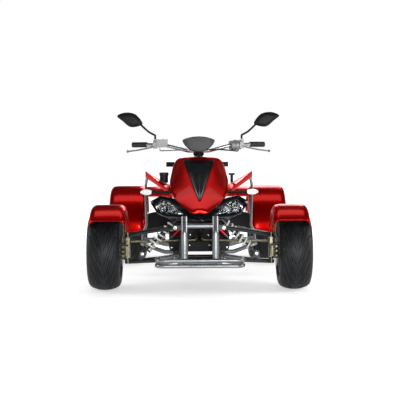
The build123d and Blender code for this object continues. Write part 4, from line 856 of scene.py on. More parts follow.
class QUAD_OT_finishes(bpy.types.Operator):
    """Makes the materials and gives each CAD node its own."""
    bl_idname = "quad.finishes"
    bl_label = "Finishes"

    def execute(self, context):
        MATERIALS.update(make_materials())
        for finish, nodes in NODE_FINISHES.items():
            for node in nodes:
                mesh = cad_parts[node].data
                mesh.materials.clear()
                mesh.materials.append(MATERIALS[finish])
        TREES.update({
            "ring_of_segments": ring_tree(), "row_of_fins": row_tree(),
            "fasteners_on_points": fastener_tree(), "links_along_a_curve": chain_tree(),
        })
        return {"FINISHED"}


class QUAD_OT_tyres(bpy.types.Operator):
    """Builds the four slit-tread tyres from a repeated segment."""
    bl_idname = "quad.tyres"
    bl_label = "Tyres"

    def segment(self, centre, width, diameter):
        """One segment of a tyre, with two slits a side."""
        settings = quad_settings()
        half, rim, crown = width / 2, RIM_RADIUS, diameter / 2
        bead, tread, shoulder = half - 18, half - 22, crown - 14
        cheek = (rim + 12 + shoulder) / 2
        heel, ankle, wall = bead - 14, rim + 24, 8
        left = arc_points((-bead, rim + 12), (-half, cheek), (-tread, shoulder), 9)
        top = arc_points((-tread, shoulder), (0, crown), (tread, shoulder), 44)
        right = [(-x, r) for x, r in reversed(left)]
        profile = [(-bead, rim)] + left[:-1] + top + right[1:] + [(bead, rim)]
        outer_count = len(profile)
        profile += [
            (heel, rim), (heel, ankle), (half - wall, cheek + 4), (tread - wall, shoulder - wall),
            (0, crown - 2 * wall), (wall - tread, shoulder - wall), (wall - half, cheek + 4),
            (-heel, ankle), (-heel, rim),
        ]
        pitch = 2 * math.pi * crown / settings.tread_segments
        slit = pitch / 2
        # Share of a slit's room round the tyre, and whether the tread is cut there
        cuts = ((0, 0), (0.2, 0), (0.4, 0), (0.45, 1), (0.64, 1), (0.69, 0), (0.86, 0))
        columns = [(line * slit + slit * share, cut, line) for line in (0, 1) for share, cut in cuts]
        columns.append((pitch, 0, 0))
        # From where to where across the tyre the two slits run
        spans = ((6.0, tread * 0.62), (tread * 0.36, tread * 1.06))
        wave, wave_run = 4.0, 9.0
        depth = settings.tread_depth * 1000
        rows = []
        for along, cut, line in columns:
            row = []
            for index, (across, radius) in enumerate(profile):
                reach = abs(across)
                on_tread = index < outer_count and radius > shoulder - 6
                shear = min(reach, tread) if on_tread else tread
                lean = settings.tread_slope * shear + wave * math.sin(shear / wave_run) * (shear < tread)
                angle = (along - lean) / crown
                if on_tread and cut:
                    low, high = spans[line]
                    fade = min(max((reach - low) / 5, 0), 1) * min(max((high - reach) / 7, 0), 1)
                    radius -= depth * fade
                row.append(Vector((
                    centre[0] + across, centre[1] - radius * math.sin(angle),
                    centre[2] + radius * math.cos(angle),
                )))
            rows.append(row)
        return skin(rows, closed=True)

    def execute(self, context):
        for end in ("front", "rear"):
            for side, word in NAMES.items():
                centre, body, width, diameter = wheel(end, side)
                segment = self.segment(centre, width, diameter)
                tyre = settle(segment, f"{end}_tyre_tread_{word}", "tyre_rubber")
                grow(
                    tyre, "ring_of_segments", "tyre_rubber", smooth=34,
                    Count=quad_settings().tread_segments, Centre=centre / 1000,
                )
                node = f"front_tyre_{word}" if end == "front" else "rear_tyres"
                settle_on(tyre, body, "tyre_rubber", node)
        return {"FINISHED"}


class QUAD_OT_fenders(bpy.types.Operator):
    """Builds the front and rear fenders with rounded shoulders and a rolled edge."""
    bl_idname = "quad.fenders"
    bl_label = "Fenders"

    def fender(self, shape, beads, centre, radius, low, high, skirt, from_angle, to_angle):
        """Adds a fender over a wheel and the bead of its edge; low and high are its sides."""
        side = math.copysign(1, centre.x)
        corner = quad_settings().fender_corner * 1000
        steps = 30
        turns = [math.pi / 2 * k / 4 for k in range(5)]
        bend = [(2 + corner * (1 - math.cos(turn)), -corner * (1 - math.sin(turn))) for turn in turns]
        section = [
            (low, -skirt), (low + 1.5, -(skirt + corner) / 2),
            *((low + across, fall) for across, fall in bend),
            ((low + high) / 2, 0.0),
            *((high - across, fall) for across, fall in reversed(bend)),
            (high - 1.5, -(skirt + corner) / 2), (high, -skirt),
        ]
        rows = []
        for step in range(steps + 1):
            angle = math.radians(-from_angle + (from_angle + to_angle) * step / steps)
            rows.append([
                Vector((
                    side * across, centre[1] + (radius - 1.5 + fall) * math.sin(angle),
                    centre[2] + (radius - 1.5 + fall) * math.cos(angle),
                ))
                for across, fall in section
            ])
        grid = [[shape.verts.new(point / 1000) for point in row] for row in rows]
        for a, b in zip(grid, grid[1:]):
            for i in range(len(a) - 1):
                quad = (a[i], b[i], b[i + 1], a[i + 1])
                shape.faces.new(quad if side > 0 else quad[::-1])
        border = [row[0] for row in rows] + rows[-1][1:-1]
        border += [row[-1] for row in rows[::-1]] + rows[0][-2:0:-1]
        pipe(beads, border, quad_settings().fender_bead * 1000, closed=True, sides=8)

    def dress(self, shape, beads, shell_name, bead_name, body, node):
        """Turns a shell and its bead into pieces of a body."""
        shell = new_piece(shell_name, meshed(shape, shell_name), "candy_lacquered_abs")
        walled(shell, 3.5, levels=1)
        settle_on(shell, body, "red_plastic", node)
        settle_on(settle(beads, bead_name, "candy_lacquered_abs"), body, "red_plastic")

    def execute(self, context):
        for side, word in NAMES.items():
            shape, beads = bmesh.new(), bmesh.new()
            self.fender(shape, beads, wheel("front", side)[0], 257, 409, 606, 44, 44, 62)
            self.dress(
                shape, beads, f"front_fender_shell_{word}", f"front_fender_bead_{word}",
                f"knuckle_{word}_body", f"front_fender_{word}",
            )
        shape, beads = bmesh.new(), bmesh.new()
        for side in NAMES:
            self.fender(shape, beads, wheel("rear", side)[0], 281, 344, 590, 50, 92, 70)
        self.dress(shape, beads, "rear_fender_shells", "rear_fender_beads", "chassis", "rear_fenders")
        deck = []
        for step in range(17):
            angle = math.radians(-38 + 80 * step / 16)
            row = []
            # The panel sags slightly between its folded edges
            for x, fall in ((-347, 2), (-300, 0), (-150, 2), (0, 3), (150, 2), (300, 0), (347, 2)):
                reach = 278.5 - fall
                row.append(at_mm(
                    x, WHEELBASE + reach * math.sin(angle), REAR_AXLE_Z + reach * math.cos(angle),
                ))
            deck.append(row)
        panel = settle(skin(deck), "rear_deck_panel", "candy_lacquered_abs")
        walled(panel, 3.0, levels=1)
        settle_on(panel, "chassis", "red_plastic")
        return {"FINISHED"}


NOSE_TABLE = (
    # behind, low half width, low z, shoulder half width, shoulder z, top half width, top z
    (-262, 30, 443, 52, 452, 14, 472),
    (-150, 108, 486, 128, 512, 30, 540),
    (-40, 156, 528, 160, 560, 52, 592),
    (110, 170, 556, 168, 610, 84, 664),
    (290, 160, 596, 152, 690, 116, 738),
)
TANK_TABLE = (
    (290.3, 160, 520, 152, 690, 116, 738),
    (400, 168, 500, 148, 680, 106, 722),
    (540, 150, 500, 136, 636, 96, 668),
)
TAIL_TABLE = (
    (1242, 118, SEAT_FLOOR_Z, 124, 640, 92, 682),
    (1400, 104, SEAT_FLOOR_Z, 112, 650, 84, 700),
    (1572, 60, 640, 70, 668, 56, 706),
)


def between(table, behind):
    """The row of a bonnet table at a distance behind the front axle."""
    for low, high in zip(table, table[1:]):
        if behind <= high[0]:
            share = (behind - low[0]) / (high[0] - low[0])
            return [a + (b - a) * share for a, b in zip(low, high)]
    return list(table[-1])


def bonnet_rows(table, stations, inset=0.0, crown=6.0, lip=10.0):
    """Rows of a bonnet's skin, from one lower edge over the top to the other."""
    rows = []
    for behind in stations:
        _, low_w, low_z, mid_w, mid_z, top_w, top_z = between(table, behind)
        half = [
            (low_w - lip, low_z + lip * 0.2 + inset), (low_w - inset, low_z + inset),
            ((low_w + mid_w) / 2 - inset + 1.5, (low_z + mid_z) / 2), (mid_w - inset, mid_z),
            ((mid_w + top_w) / 2 + crown * 0.5 - inset, (mid_z + top_z) / 2 + crown * 0.4 - inset),
            (top_w - inset * 0.5, top_z - inset),
        ]
        full = [(-x, z) for x, z in half] + [(0, top_z + crown - 6 - inset)] + half[::-1]
        rows.append([at_mm(x, behind, z) for x, z in full])
    return rows


class QUAD_OT_bodywork(bpy.types.Operator):
    """Builds the nose, its shield, the side wings, the tank cover and the tail."""
    bl_idname = "quad.bodywork"
    bl_label = "Bodywork"

    def execute(self, context):
        stations = (-262, -248, -215, -185, -150, -110, -75, -40, 10, 60, 110, 170, 230, 270, 288)
        rows = bonnet_rows(NOSE_TABLE, stations, inset=1.0)
        # The first row drawn in, which closes the tip
        tip_z, narrowed = 454, 0.55
        tip = [
            Vector((point.x * narrowed, point.y - 1.5, tip_z + (point.z - tip_z) * narrowed))
            for point in rows[0]
        ]
        shape = skin([tip] + rows, caps=(True, False))
        crease = shape.edges.layers.float.new("crease_edge")
        for edge in shape.edges:
            if abs(edge.verts[0].co.y - edge.verts[1].co.y) > 0.005:
                start = edge.verts[0].co * 1000
                if any((start - row[i]).length < 0.5 for row in rows for i in (1, 3, 5, 7, 9, 11)):
                    edge[crease] = 0.45
        bmesh.ops.recalc_face_normals(shape, faces=shape.faces)
        nose = new_piece("nose_panel", meshed(shape, "nose_panel"), "candy_lacquered_abs")
        walled(nose, 3.0, levels=2)
        settle_on(nose, "chassis", "red_plastic", "nose_cowl")

        # The shield stands proud of the nose, with thin edges and a groove down its middle
        shield_rows = []
        for behind, half in (
            (-200, 5), (-172, 13), (-150, 20), (-95, 30), (-40, 40), (35, 55), (110, 70), (175, 82),
            (236, 93),
        ):
            _, _, _, mid_w, mid_z, top_w, top_z = between(NOSE_TABLE, behind)
            row = []
            for share in (-1, -0.92, -0.5, -0.12, 0, 0.12, 0.5, 0.92, 1):
                x = half * share
                over = max(0.0, abs(x) - top_w) / max(mid_w - top_w, 1)
                z = top_z - (top_z - mid_z) * over
                lift = 1.5 if abs(share) == 1 else 6.5
                if abs(share) < 0.2:
                    lift = 3.0
                row.append(at_mm(x, behind, z + lift))
            shield_rows.append(row)
        shield = settle(skin(shield_rows), "shield_panel", "gloss_moulded_abs", 25)
        walled(shield, 3.0, levels=1, smooth=28)
        settle_on(shield, "chassis", "black_gloss", "nose_shield")

        wing_sections = []
        # Three sections outwards: x, leading edge, depth there, trailing edge
        for half, lead, lead_z, depth, trail, trail_z in (
            (150, -50, 545, 18, 165, 572), (232, 96, 602, 28, 252, 611), (312, 240, 659, 41, 330, 650),
        ):
            middle, middle_z = (lead + trail) / 2, (lead_z + trail_z) / 2
            wing_sections.append([
                at_mm(half, behind, z) for behind, z in (
                    (lead + 3, lead_z - depth), (lead, lead_z - depth / 2), (lead + 3, lead_z),
                    (middle, middle_z + 2), (trail, trail_z), (trail, trail_z - 7),
                    (middle, middle_z - depth * 0.7),
                )
            ])
        wings = skin(wing_sections, closed=True, caps=(True, True))
        mirrored(wings)
        blades = settle(wings, "side_blades", "candy_lacquered_abs", 30)
        rounded(blades, 2.5, segments=3)
        settle_on(blades, "chassis", "red_plastic", "side_wings")

        tank_rows = bonnet_rows(TANK_TABLE, (291, 300, 330, 365, 400, 450, 500, 530, 539), inset=1.0)
        tank = settle(skin(tank_rows), "tank_panel", "candy_lacquered_abs")
        walled(tank, 3.0, levels=2)
        settle_on(tank, "chassis", "red_plastic", "tank_cover")
        cap = bmesh.new()
        lathe(
            cap, at_mm(0, 440, 704), (0, 0, 1),
            ((0, 38), (10, 38), (12, 36), (12, 32), (14, 31), (30, 30), (33, 27), (33, 10), (31, 9), (31, 0)),
            40,
        )
        settle_on(settle(cap, "fuel_cap", "cast_aluminium", 30), "chassis", "aluminium")

        stations = (1243, 1255, 1300, 1350, 1400, 1450, 1500, 1550, 1571)
        tail_rows = bonnet_rows(TAIL_TABLE, stations, inset=1.0, lip=0.0)
        tail = settle(skin(tail_rows, closed=True, caps=(True, True)), "tail_panel", "candy_lacquered_abs")
        rounded(tail, 3.0, levels=1)
        settle_on(tail, "chassis", "red_plastic", "tail_cowl")
        return {"FINISHED"}


LAMP_SWEEP = math.radians(26)
LAMP_LEAN = math.radians(20)
LAMP_OUT = Vector((
    math.sin(LAMP_SWEEP) * math.cos(LAMP_LEAN), -math.cos(LAMP_SWEEP) * math.cos(LAMP_LEAN),
    math.sin(LAMP_LEAN),
))
LAMP_ACROSS = Vector((math.cos(LAMP_SWEEP), math.sin(LAMP_SWEEP), 0))
LAMP_UP = LAMP_OUT.cross(LAMP_ACROSS)
LAMP_Z = 470
LAMP_ORIGIN = at_mm(0, -205, LAMP_Z)


def on_lamp(x, z, depth=0.0):
    """A point of the lamp face as seen from the front, moved out by depth."""
    rise = (z - LAMP_Z) / math.cos(LAMP_LEAN)
    run = (x + rise * math.sin(LAMP_SWEEP) * math.sin(LAMP_LEAN)) / math.cos(LAMP_SWEEP)
    return LAMP_ORIGIN + LAMP_ACROSS * run + LAMP_UP * rise + LAMP_OUT * depth


def ray_loop(points, centre, count, scale=1.0, grow_mm=0.0):
    """Points where even rays from a centre meet an outline."""
    result = []
    size = len(points)
    middle = Vector(centre)
    for k in range(count):
        angle = 2 * math.pi * k / count
        ray = Vector((math.cos(angle), math.sin(angle)))
        best = 0.0
        for i in range(size):
            a = Vector(points[i]) - middle
            b = Vector(points[(i + 1) % size]) - middle
            edge = b - a
            cross = ray.x * edge.y - ray.y * edge.x
            if abs(cross) < 1e-9:
                continue
            far = (a.x * edge.y - a.y * edge.x) / cross
            along = (a.x * ray.y - a.y * ray.x) / cross
            if far > 0 and -1e-6 <= along <= 1 + 1e-6:
                best = max(best, far)
        result.append(middle + ray * (best * scale + grow_mm))
    return result


HOUSING_OUTLINE = ((0, 405), (88, 418), (184, 418), (238, 438), (280, 501), (217, 536), (155, 526), (0, 470))
LENS_OUTLINE = ((84, 438), (184, 438), (230, 455), (251, 476), (209, 509), (167, 501))
LENS_CENTRE = (180, 468)


def lamp_ring(outline, count, scale, depth, grow_mm=0.0):
    """A ring of points on the lamp face that follows an outline, moved out by depth."""
    return [
        on_lamp(point.x, point.y, depth)
        for point in ray_loop(outline, LENS_CENTRE, count, scale, grow_mm)
    ]


class QUAD_OT_headlamps(bpy.types.Operator):
    """Builds the lamp surround, the faceted reflectors, the bulbs in their bowls and the clear lenses."""
    bl_idname = "quad.headlamps"
    bl_label = "Headlamps"

    def execute(self, context):
        loops = (
            # outline, scale, depth, growth
            (HOUSING_OUTLINE, 0.86, -66, 0), (HOUSING_OUTLINE, 0.97, -30, 0), (HOUSING_OUTLINE, 1.0, -10, 0),
            (HOUSING_OUTLINE, 1.0, -3, -2), (HOUSING_OUTLINE, 1.0, -0.5, -7), (LENS_OUTLINE, 1.0, -0.5, 7),
            (LENS_OUTLINE, 1.0, -2.5, 2), (LENS_OUTLINE, 1.0, -7, 0.3), (LENS_OUTLINE, 0.9, -46, 0),
            (LENS_OUTLINE, 0.3, -50, 0),
        )
        rows = [lamp_ring(outline, 72, scale, depth, growth) for outline, scale, depth, growth in loops]
        shape = skin(rows, closed=True, caps=(True, True))
        for vert in shape.verts:
            vert.co.x = max(vert.co.x, 0.0)
        mirrored(shape)
        settle_on(
            settle(shape, "lamp_surround", "gloss_moulded_abs", 32),
            "chassis", "black_plastic", "lamp_housing",
        )

        rings = []
        levels = ((0.965, -9), (0.9, -16), (0.72, -24), (0.55, -27), (0.38, -33), (0.2, -38))
        for level, (scale, depth) in enumerate(levels):
            ring = ray_loop(LENS_OUTLINE, LENS_CENTRE, 40, scale)
            rings.append([
                on_lamp(
                    point.x + 2.0 * math.sin(7.0 * k + level), point.y + 2.0 * math.cos(5.0 * k + level * 2),
                    depth + 3.5 * math.sin(k * 2.4 + level * 1.7),
                )
                for k, point in enumerate(ring)
            ])
        grid = skin(rings, closed=True, caps=(False, True))
        bmesh.ops.triangulate(grid, faces=grid.faces)
        mirrored(grid)
        for face in grid.faces:
            face.smooth = False
        reflector = new_piece("lamp_reflectors", meshed(grid, "lamp_reflectors"), "metallised_reflector")
        settle_on(reflector, "chassis", "lens_clear")

        bowls = bmesh.new()
        caps = bmesh.new()
        for side in NAMES:
            for x, z, radius in ((205, 474, 25), (158, 468, 21)):
                start = on_lamp(x, z, -38)
                axis = Vector((side * LAMP_OUT.x, LAMP_OUT.y, LAMP_OUT.z))
                start.x *= side
                lathe(
                    bowls, start, axis,
                    ((0, 5), (1, 8), (5, radius * 0.55), (12, radius * 0.8), (22, radius), (24, radius + 1.5),
                     (21, radius + 1.5), (3, radius * 0.6), (-2, 6)), 14,
                )
                lathe(caps, start + axis * 3, axis, ((0, 4), (12, 4.5), (14, 4.5), (17, 3.5), (18, 0)), 16)
        settle_on(settle(bowls, "lamp_bowls", "metallised_reflector", 5), "chassis", "lens_clear")
        settle_on(settle(caps, "lamp_bulbs", "frosted_polycarbonate"), "chassis", "lens_clear")

        levels = ((0.985, -4.5), (0.985, -1.5), (0.93, 0.5), (0.7, 2.5), (0.4, 3.5), (0.1, 4))
        lens_rows = [lamp_ring(LENS_OUTLINE, 48, scale, depth) for scale, depth in levels]
        dome = skin(lens_rows, closed=True, caps=(False, True))
        mirrored(dome)
        lens = new_piece("lamp_lenses", meshed(dome, "lamp_lenses"), "clear_polycarbonate")
        modified(lens, "SOLIDIFY", thickness=0.002, offset=-1.0)
        bake_modifiers(lens, 50)
        settle_on(lens, "chassis", "lens_clear", "headlamp_lenses")
        return {"FINISHED"}


class QUAD_OT_seat(bpy.types.Operator):
    """Builds the padded seat, swollen by a cloth simulation, and its piping."""
    bl_idname = "quad.seat"
    bl_label = "Seat"

    def execute(self, context):
        floor = SEAT_FLOOR_Z
        table = (
            # behind, half width, top
            (541, 108, 661), (620, 110, 649), (700, 114, 638), (850, 126, 637), (1000, 136, 641),
            (1120, 128, 652), (1238, 108, 664),
        )
        rows = []
        for behind, half, top in table:
            edge = [
                (half, floor + 2), (half + 2, (floor + top) / 2), (half - 14, top - 10), (half / 2, top - 2),
            ]
            section = [(-x, z) for x, z in edge] + [(0, top)] + edge[::-1] + [(0, floor + 1)]
            rows.append([at_mm(x, behind, z) for x, z in section])
        pad = settle(skin(rows, closed=True, caps=(True, True)), "seat_pad", "grained_vinyl", 180)
        modified(pad, "SUBSURF", levels=1, render_levels=1)
        modified(pad, "REMESH", mode="VOXEL", voxel_size=0.009)
        frames = 20
        bake_modifiers(pad, 180)
        rest = coordinates(pad)
        cloth = pad.modifiers.new("cloth", "CLOTH")
        cloth.settings.use_pressure = True
        cloth.settings.uniform_pressure_force = 4.0
        cloth.settings.effector_weights.gravity = 0.0
        scene = bpy.context.scene
        scene.frame_start = cloth.point_cache.frame_start = 1
        scene.frame_end = cloth.point_cache.frame_end = frames
        for step in range(1, frames + 1):
            scene.frame_set(step)
        bake_modifiers(pad, 180)
        scene.frame_set(1)
        shift = coordinates(pad) - rest
        length = np.linalg.norm(shift, axis=1, keepdims=True)
        shift *= np.minimum(1.0, quad_settings().seat_swell / np.maximum(length, 1e-9))
        points = rest + shift
        # The pad stays between the tank and the tail, on its floor and under the tail's top
        points[:, 1] = np.clip(points[:, 1], behind_y(541.5) / 1000, behind_y(1241) / 1000)
        points[:, 2] = np.clip(points[:, 2], floor / 1000 + 0.0003, 0.664)
        pad.data.vertices.foreach_set("co", points.reshape(-1))
        modified(pad, "SUBSURF", levels=1, render_levels=1)
        bake_modifiers(pad, 180)
        settle_on(pad, "chassis", "vinyl", "seat")
        seam = bmesh.new()
        for side in NAMES:
            line = [at_mm(side * (half + 2), behind + 2, floor + 16) for behind, half, _ in table[:-1]]
            pipe(seam, curve_through(line, 6), 2.6, sides=6)
        settle_on(settle(seam, "seat_piping", "grained_vinyl"), "chassis", "vinyl")
        return {"FINISHED"}


class QUAD_OT_cockpit(bpy.types.Operator):
    """Builds the mirrors, the instrument pod with its gauge and the stem's boot."""
    bl_idname = "quad.cockpit"
    bl_label = "Cockpit"

    def execute(self, context):
        centre_x, centre_z = 405, 955

        def mirror_ring(scale, behind, count):
            outline = ((487, 981), (436, 1001), (377, 990), (336, 942), (348, 922), (407, 914), (455, 950))
            return [
                at_mm(centre_x + (p.x - centre_x) * scale, behind, centre_z + (p.y - centre_z) * scale)
                for p in smooth_loop(outline, count)
            ]

        rows = [
            mirror_ring(scale, behind, 56) for scale, behind in (
                (0.95, 444.5), (1.0, 444), (1.0, 438), (0.97, 430), (0.8, 423), (0.5, 420), (0.15, 419.5),
            )
        ]
        shape = skin(rows, closed=True, caps=(True, True))
        stalk = (
            (352, 430, 935), (325, 421, 909), (296, 409, 884), (266, 392, 868), (258, 388, 862),
            (258, 388, 840),
        )
        pipe(shape, curve_through([at_mm(*point) for point in stalk], 5), 6.0, sides=10)
        mirrored(shape)
        settle_on(
            settle(shape, "mirror_heads", "grained_polypropylene", 40),
            "steering", "black_plastic", "mirrors",
        )
        glass_rows = [mirror_ring(scale, 444.9, 48) for scale in (0.93, 0.5, 0.1)]
        glass = skin(glass_rows, closed=True, caps=(False, True))
        mirrored(glass)
        panes = new_piece("mirror_panes", meshed(glass, "mirror_panes"), "silvered_glass")
        settle_on(panes, "steering", "black_plastic")

        bowl = arc_points((-95, 50), (0, -14.4), (95, 50), 40)
        brow = arc_points((92, 58.5), (0, 78), (-92, 58.5), 30)
        outline = resampled([Vector(point) for point in bowl + brow], 90)
        pod_rows = []
        for scale, behind in (
            (0.86, 294.5), (0.88, 298.6), (0.97, 298.8), (1.0, 296), (1.0, 266), (0.975, 259),
            (0.9, 255.5), (0.62, 254.4), (0.2, 254.2),
        ):
            pod_rows.append([
                at_mm(point.x * scale, behind, CLAMP_Z + POD_RISE + (point.y - POD_RISE) * scale)
                for point in outline
            ])
        settle_on(
            settle(skin(pod_rows, closed=True, caps=(True, True)), "pod_shell", "satin_painted_abs", 30),
            "steering", "black_plastic", "instrument_pod",
        )
        boot = bmesh.new()
        lathe(
            boot, at_mm(0, CLAMP_BEHIND, CLAMP_Z) - STEM_UP * 34, STEM_UP,
            ((0, 12.3), (0, 30), (2, 32), (4, 32), (6, 28), (8, 31), (10, 31), (12, 27), (14, 24),
             (14, 12.3)), 40,
        )
        settle_on(settle(boot, "stem_boot", "grip_rubber", 40), "steering", "grip_rubber")
        gauge = bmesh.new()
        lathe(
            gauge, at_mm(0, 290, CLAMP_Z + POD_RISE), (0, 1, 0),
            ((0, 36), (8, 36), (8.6, 34), (6.5, 33), (5, 32.5)), 48,
        )
        settle_on(settle(gauge, "gauge_rim", "polished_aluminium", 30), "steering", "aluminium")
        face = bmesh.new()
        lathe(
            face, at_mm(0, 294.8, CLAMP_Z + POD_RISE), (0, 1, 0), ((0, 32.8), (0.8, 32.4), (1.4, 0)), 48,
        )
        settle_on(settle(face, "gauge_glass", "smoked_glass", 30), "steering", "black_plastic")
        return {"FINISHED"}


def bent(points, radius, steps=6):
    """Points of a route in millimetres with its corners rounded to a radius."""
    line = [Vector(point) for point in points]
    result = [line[0]]
    for before, corner, after in zip(line, line[1:], line[2:]):
        inward = (before - corner).normalized()
        outward = (after - corner).normalized()
        half = inward.angle(outward) / 2
        run = min(radius / math.tan(half), 0.45 * (before - corner).length, 0.45 * (after - corner).length)
        start, end = corner + inward * run, corner + outward * run
        for step in range(steps + 1):
            t = step / steps
            result.append(start.lerp(corner, t).lerp(corner.lerp(end, t), t))
    return result + [line[-1]]


class QUAD_OT_engine(bpy.types.Operator):
    """Builds the engine's cases, covers, finned barrel and head, and the radiator."""
    bl_idname = "quad.engine"
    bl_label = "Engine"

    def execute(self, context):
        cases = bmesh.new()
        # The four blocks of the case, by their lower and upper corners
        for low, high in (
            ((-90, 430, 189.6), (64, 718, 300)), ((-78, 560, 296), (56, 716, 372)),
            ((-70, 415.5, 210), (60, 470, 330)), ((-62, 424, 300), (58, 566, 389)),
        ):
            box_shape(cases, at_mm(*low), at_mm(*high))
        shape = settle(cases, "engine_cases", "cast_aluminium")
        rounded(shape, 7.0, segments=3)
        settle_on(shape, "chassis", "engine_metal", "engine")

        covers = bmesh.new()
        # Round covers: place, the side they face, radius and depth
        for x, behind, z, axis, radius, depth in (
            (-88, 520, 278, -1, 80, 31), (-88, 652, 282, -1, 50, 24), (62, 506, 268, 1, 70, 25),
            (62, 610, 300, 1, 34, 14),
        ):
            lathe(
                covers, at_mm(x, behind, z), (axis, 0, 0),
                ((-4, radius), (depth * 0.35, radius), (depth * 0.45, radius - 3),
                 (depth * 0.8, radius - 8), (depth * 0.92, radius - 13), (depth * 0.92, radius * 0.42),
                 (depth, radius * 0.38), (depth, 0)), 48,
            )
        settle_on(settle(covers, "engine_covers", "painted_casting", 25), "chassis", "engine_metal")
        screws = []
        # Screw circles on the covers
        for x, behind, z, side, radius in (
            (-97, 520, 278, -1, 76.5), (-96, 652, 282, -1, 46.5), (70, 506, 268, 1, 66.5),
        ):
            for k in range(9):
                angle = 2 * math.pi * k / 9
                point = at_mm(x, behind + radius * math.cos(angle), z + radius * math.sin(angle))
                screws.append((point, (side, 0, 0), 4.5))
        fasteners("cover_screws", screws, "chromed_steel", "chassis", "stainless")

        run = Vector((0, -50, 180)).normalized()
        foot = at_mm(0, 500, 380)
        barrel = bmesh.new()
        lathe(
            barrel, foot, run, ((0, 50), (112, 50), (116, 60), (130, 60), (134, 54), (186, 54), (186, 0)), 40,
        )
        settle_on(settle(barrel, "engine_barrel", "painted_casting"), "chassis", "engine_metal")
        fin = bmesh.new()
        lathe(fin, foot + run * 14, run, ((0, 49), (0.4, 61), (2.4, 61), (2.8, 49)), 40)
        fins = settle(fin, "engine_fins", "painted_casting")
        grow(fins, "row_of_fins", "painted_casting", Count=12, Step=run * 0.0083)
        settle_on(fins, "chassis", "engine_metal")
        head = bmesh.new()
        box_shape(head, at_mm(-58, 402, 541), at_mm(58, 508, 560))
        box_shape(head, at_mm(-46, 412, 520), at_mm(46, 498, 545))
        top = settle(head, "engine_head", "cast_aluminium")
        rounded(top, 4.0, segments=3)
        settle_on(top, "chassis", "engine_metal")
        port = bmesh.new()
        lathe(port, at_mm(-20, 392.2, 470), (0, 1, 0), ((0, 23.8), (6, 23.8), (7, 18), (60, 18)), 28)
        settle_on(settle(port, "exhaust_flange", "cast_aluminium"), "chassis", "engine_metal")

        tanks = bmesh.new()
        for low in (-134, 112):
            box_shape(tanks, at_mm(low, 189, 301), at_mm(low + 22, 221, 449))
        box_shape(tanks, at_mm(-114, 191, 445), at_mm(114, 219, 449.5))
        box_shape(tanks, at_mm(-114, 191, 300.5), at_mm(114, 219, 305))
        sides = settle(tanks, "radiator_tanks", "cast_aluminium")
        rounded(sides, 4.0, segments=2)
        settle_on(sides, "chassis", "aluminium", "radiator")
        louvre = bmesh.new()
        box_shape(louvre, at_mm(-112, 194, 307), at_mm(112, 216, 308.2))
        core_rows = settle(louvre, "radiator_fins", "black_fins")
        grow(core_rows, "row_of_fins", "black_fins", Count=34, Step=Vector((0, 0, 0.0041)))
        settle_on(core_rows, "chassis", "aluminium")
        tubes = bmesh.new()
        for k in range(22):
            x = -105 + 10 * k
            box_shape(tubes, at_mm(x - 1.2, 200, 305), at_mm(x + 1.2, 210, 446))
        settle_on(settle(tubes, "radiator_tubes", "black_fins"), "chassis", "aluminium")
        return {"FINISHED"}


class QUAD_OT_exhaust(bpy.types.Operator):
    """Builds the exhaust pipe and its silencer with two straps."""
    bl_idname = "quad.exhaust"
    bl_label = "Exhaust"

    def execute(self, context):
        shape = bmesh.new()
        route = bent([
            at_mm(*point) for point in (
                (-20, 392, 470), (-20, 345, 470), (-110, 345, 430), (-172, 470, 400), (-178, 760, 390),
                (-215, 930, 385),
            )
        ], 30)
        pipe(shape, route, 18.8, sides=20)
        start, end = at_mm(-215, 925, 385), at_mm(-215, 1400, 400)
        run = (end - start).normalized()
        length = (end - start).length
        lathe(
            shape, start, run,
            ((1, 19), (2, 30), (22, 44), (44, 49), (46, 51.5), (60, 51.5), (61, 49.5), (length - 62, 49.5),
             (length - 61, 51.5), (length - 46, 51.5), (length - 44, 49), (length - 8, 42), (length - 2, 36),
             (length - 2, 24), (length + 29, 23.5), (length + 29, 19.5), (length - 10, 19),
             (length - 10, 0)), 48,
        )
        settle_on(settle(shape, "exhaust_body", "brushed_stainless", 28), "chassis", "stainless", "exhaust")
        straps = bmesh.new()
        for along in (130, 330):
            lathe(straps, start + run * along, run, ((0, 49), (0.5, 51.8), (21.5, 51.8), (22, 49)), 48)
        settle_on(settle(straps, "exhaust_straps", "powder_coated_tube", 28), "chassis", "frame_paint")
        return {"FINISHED"}


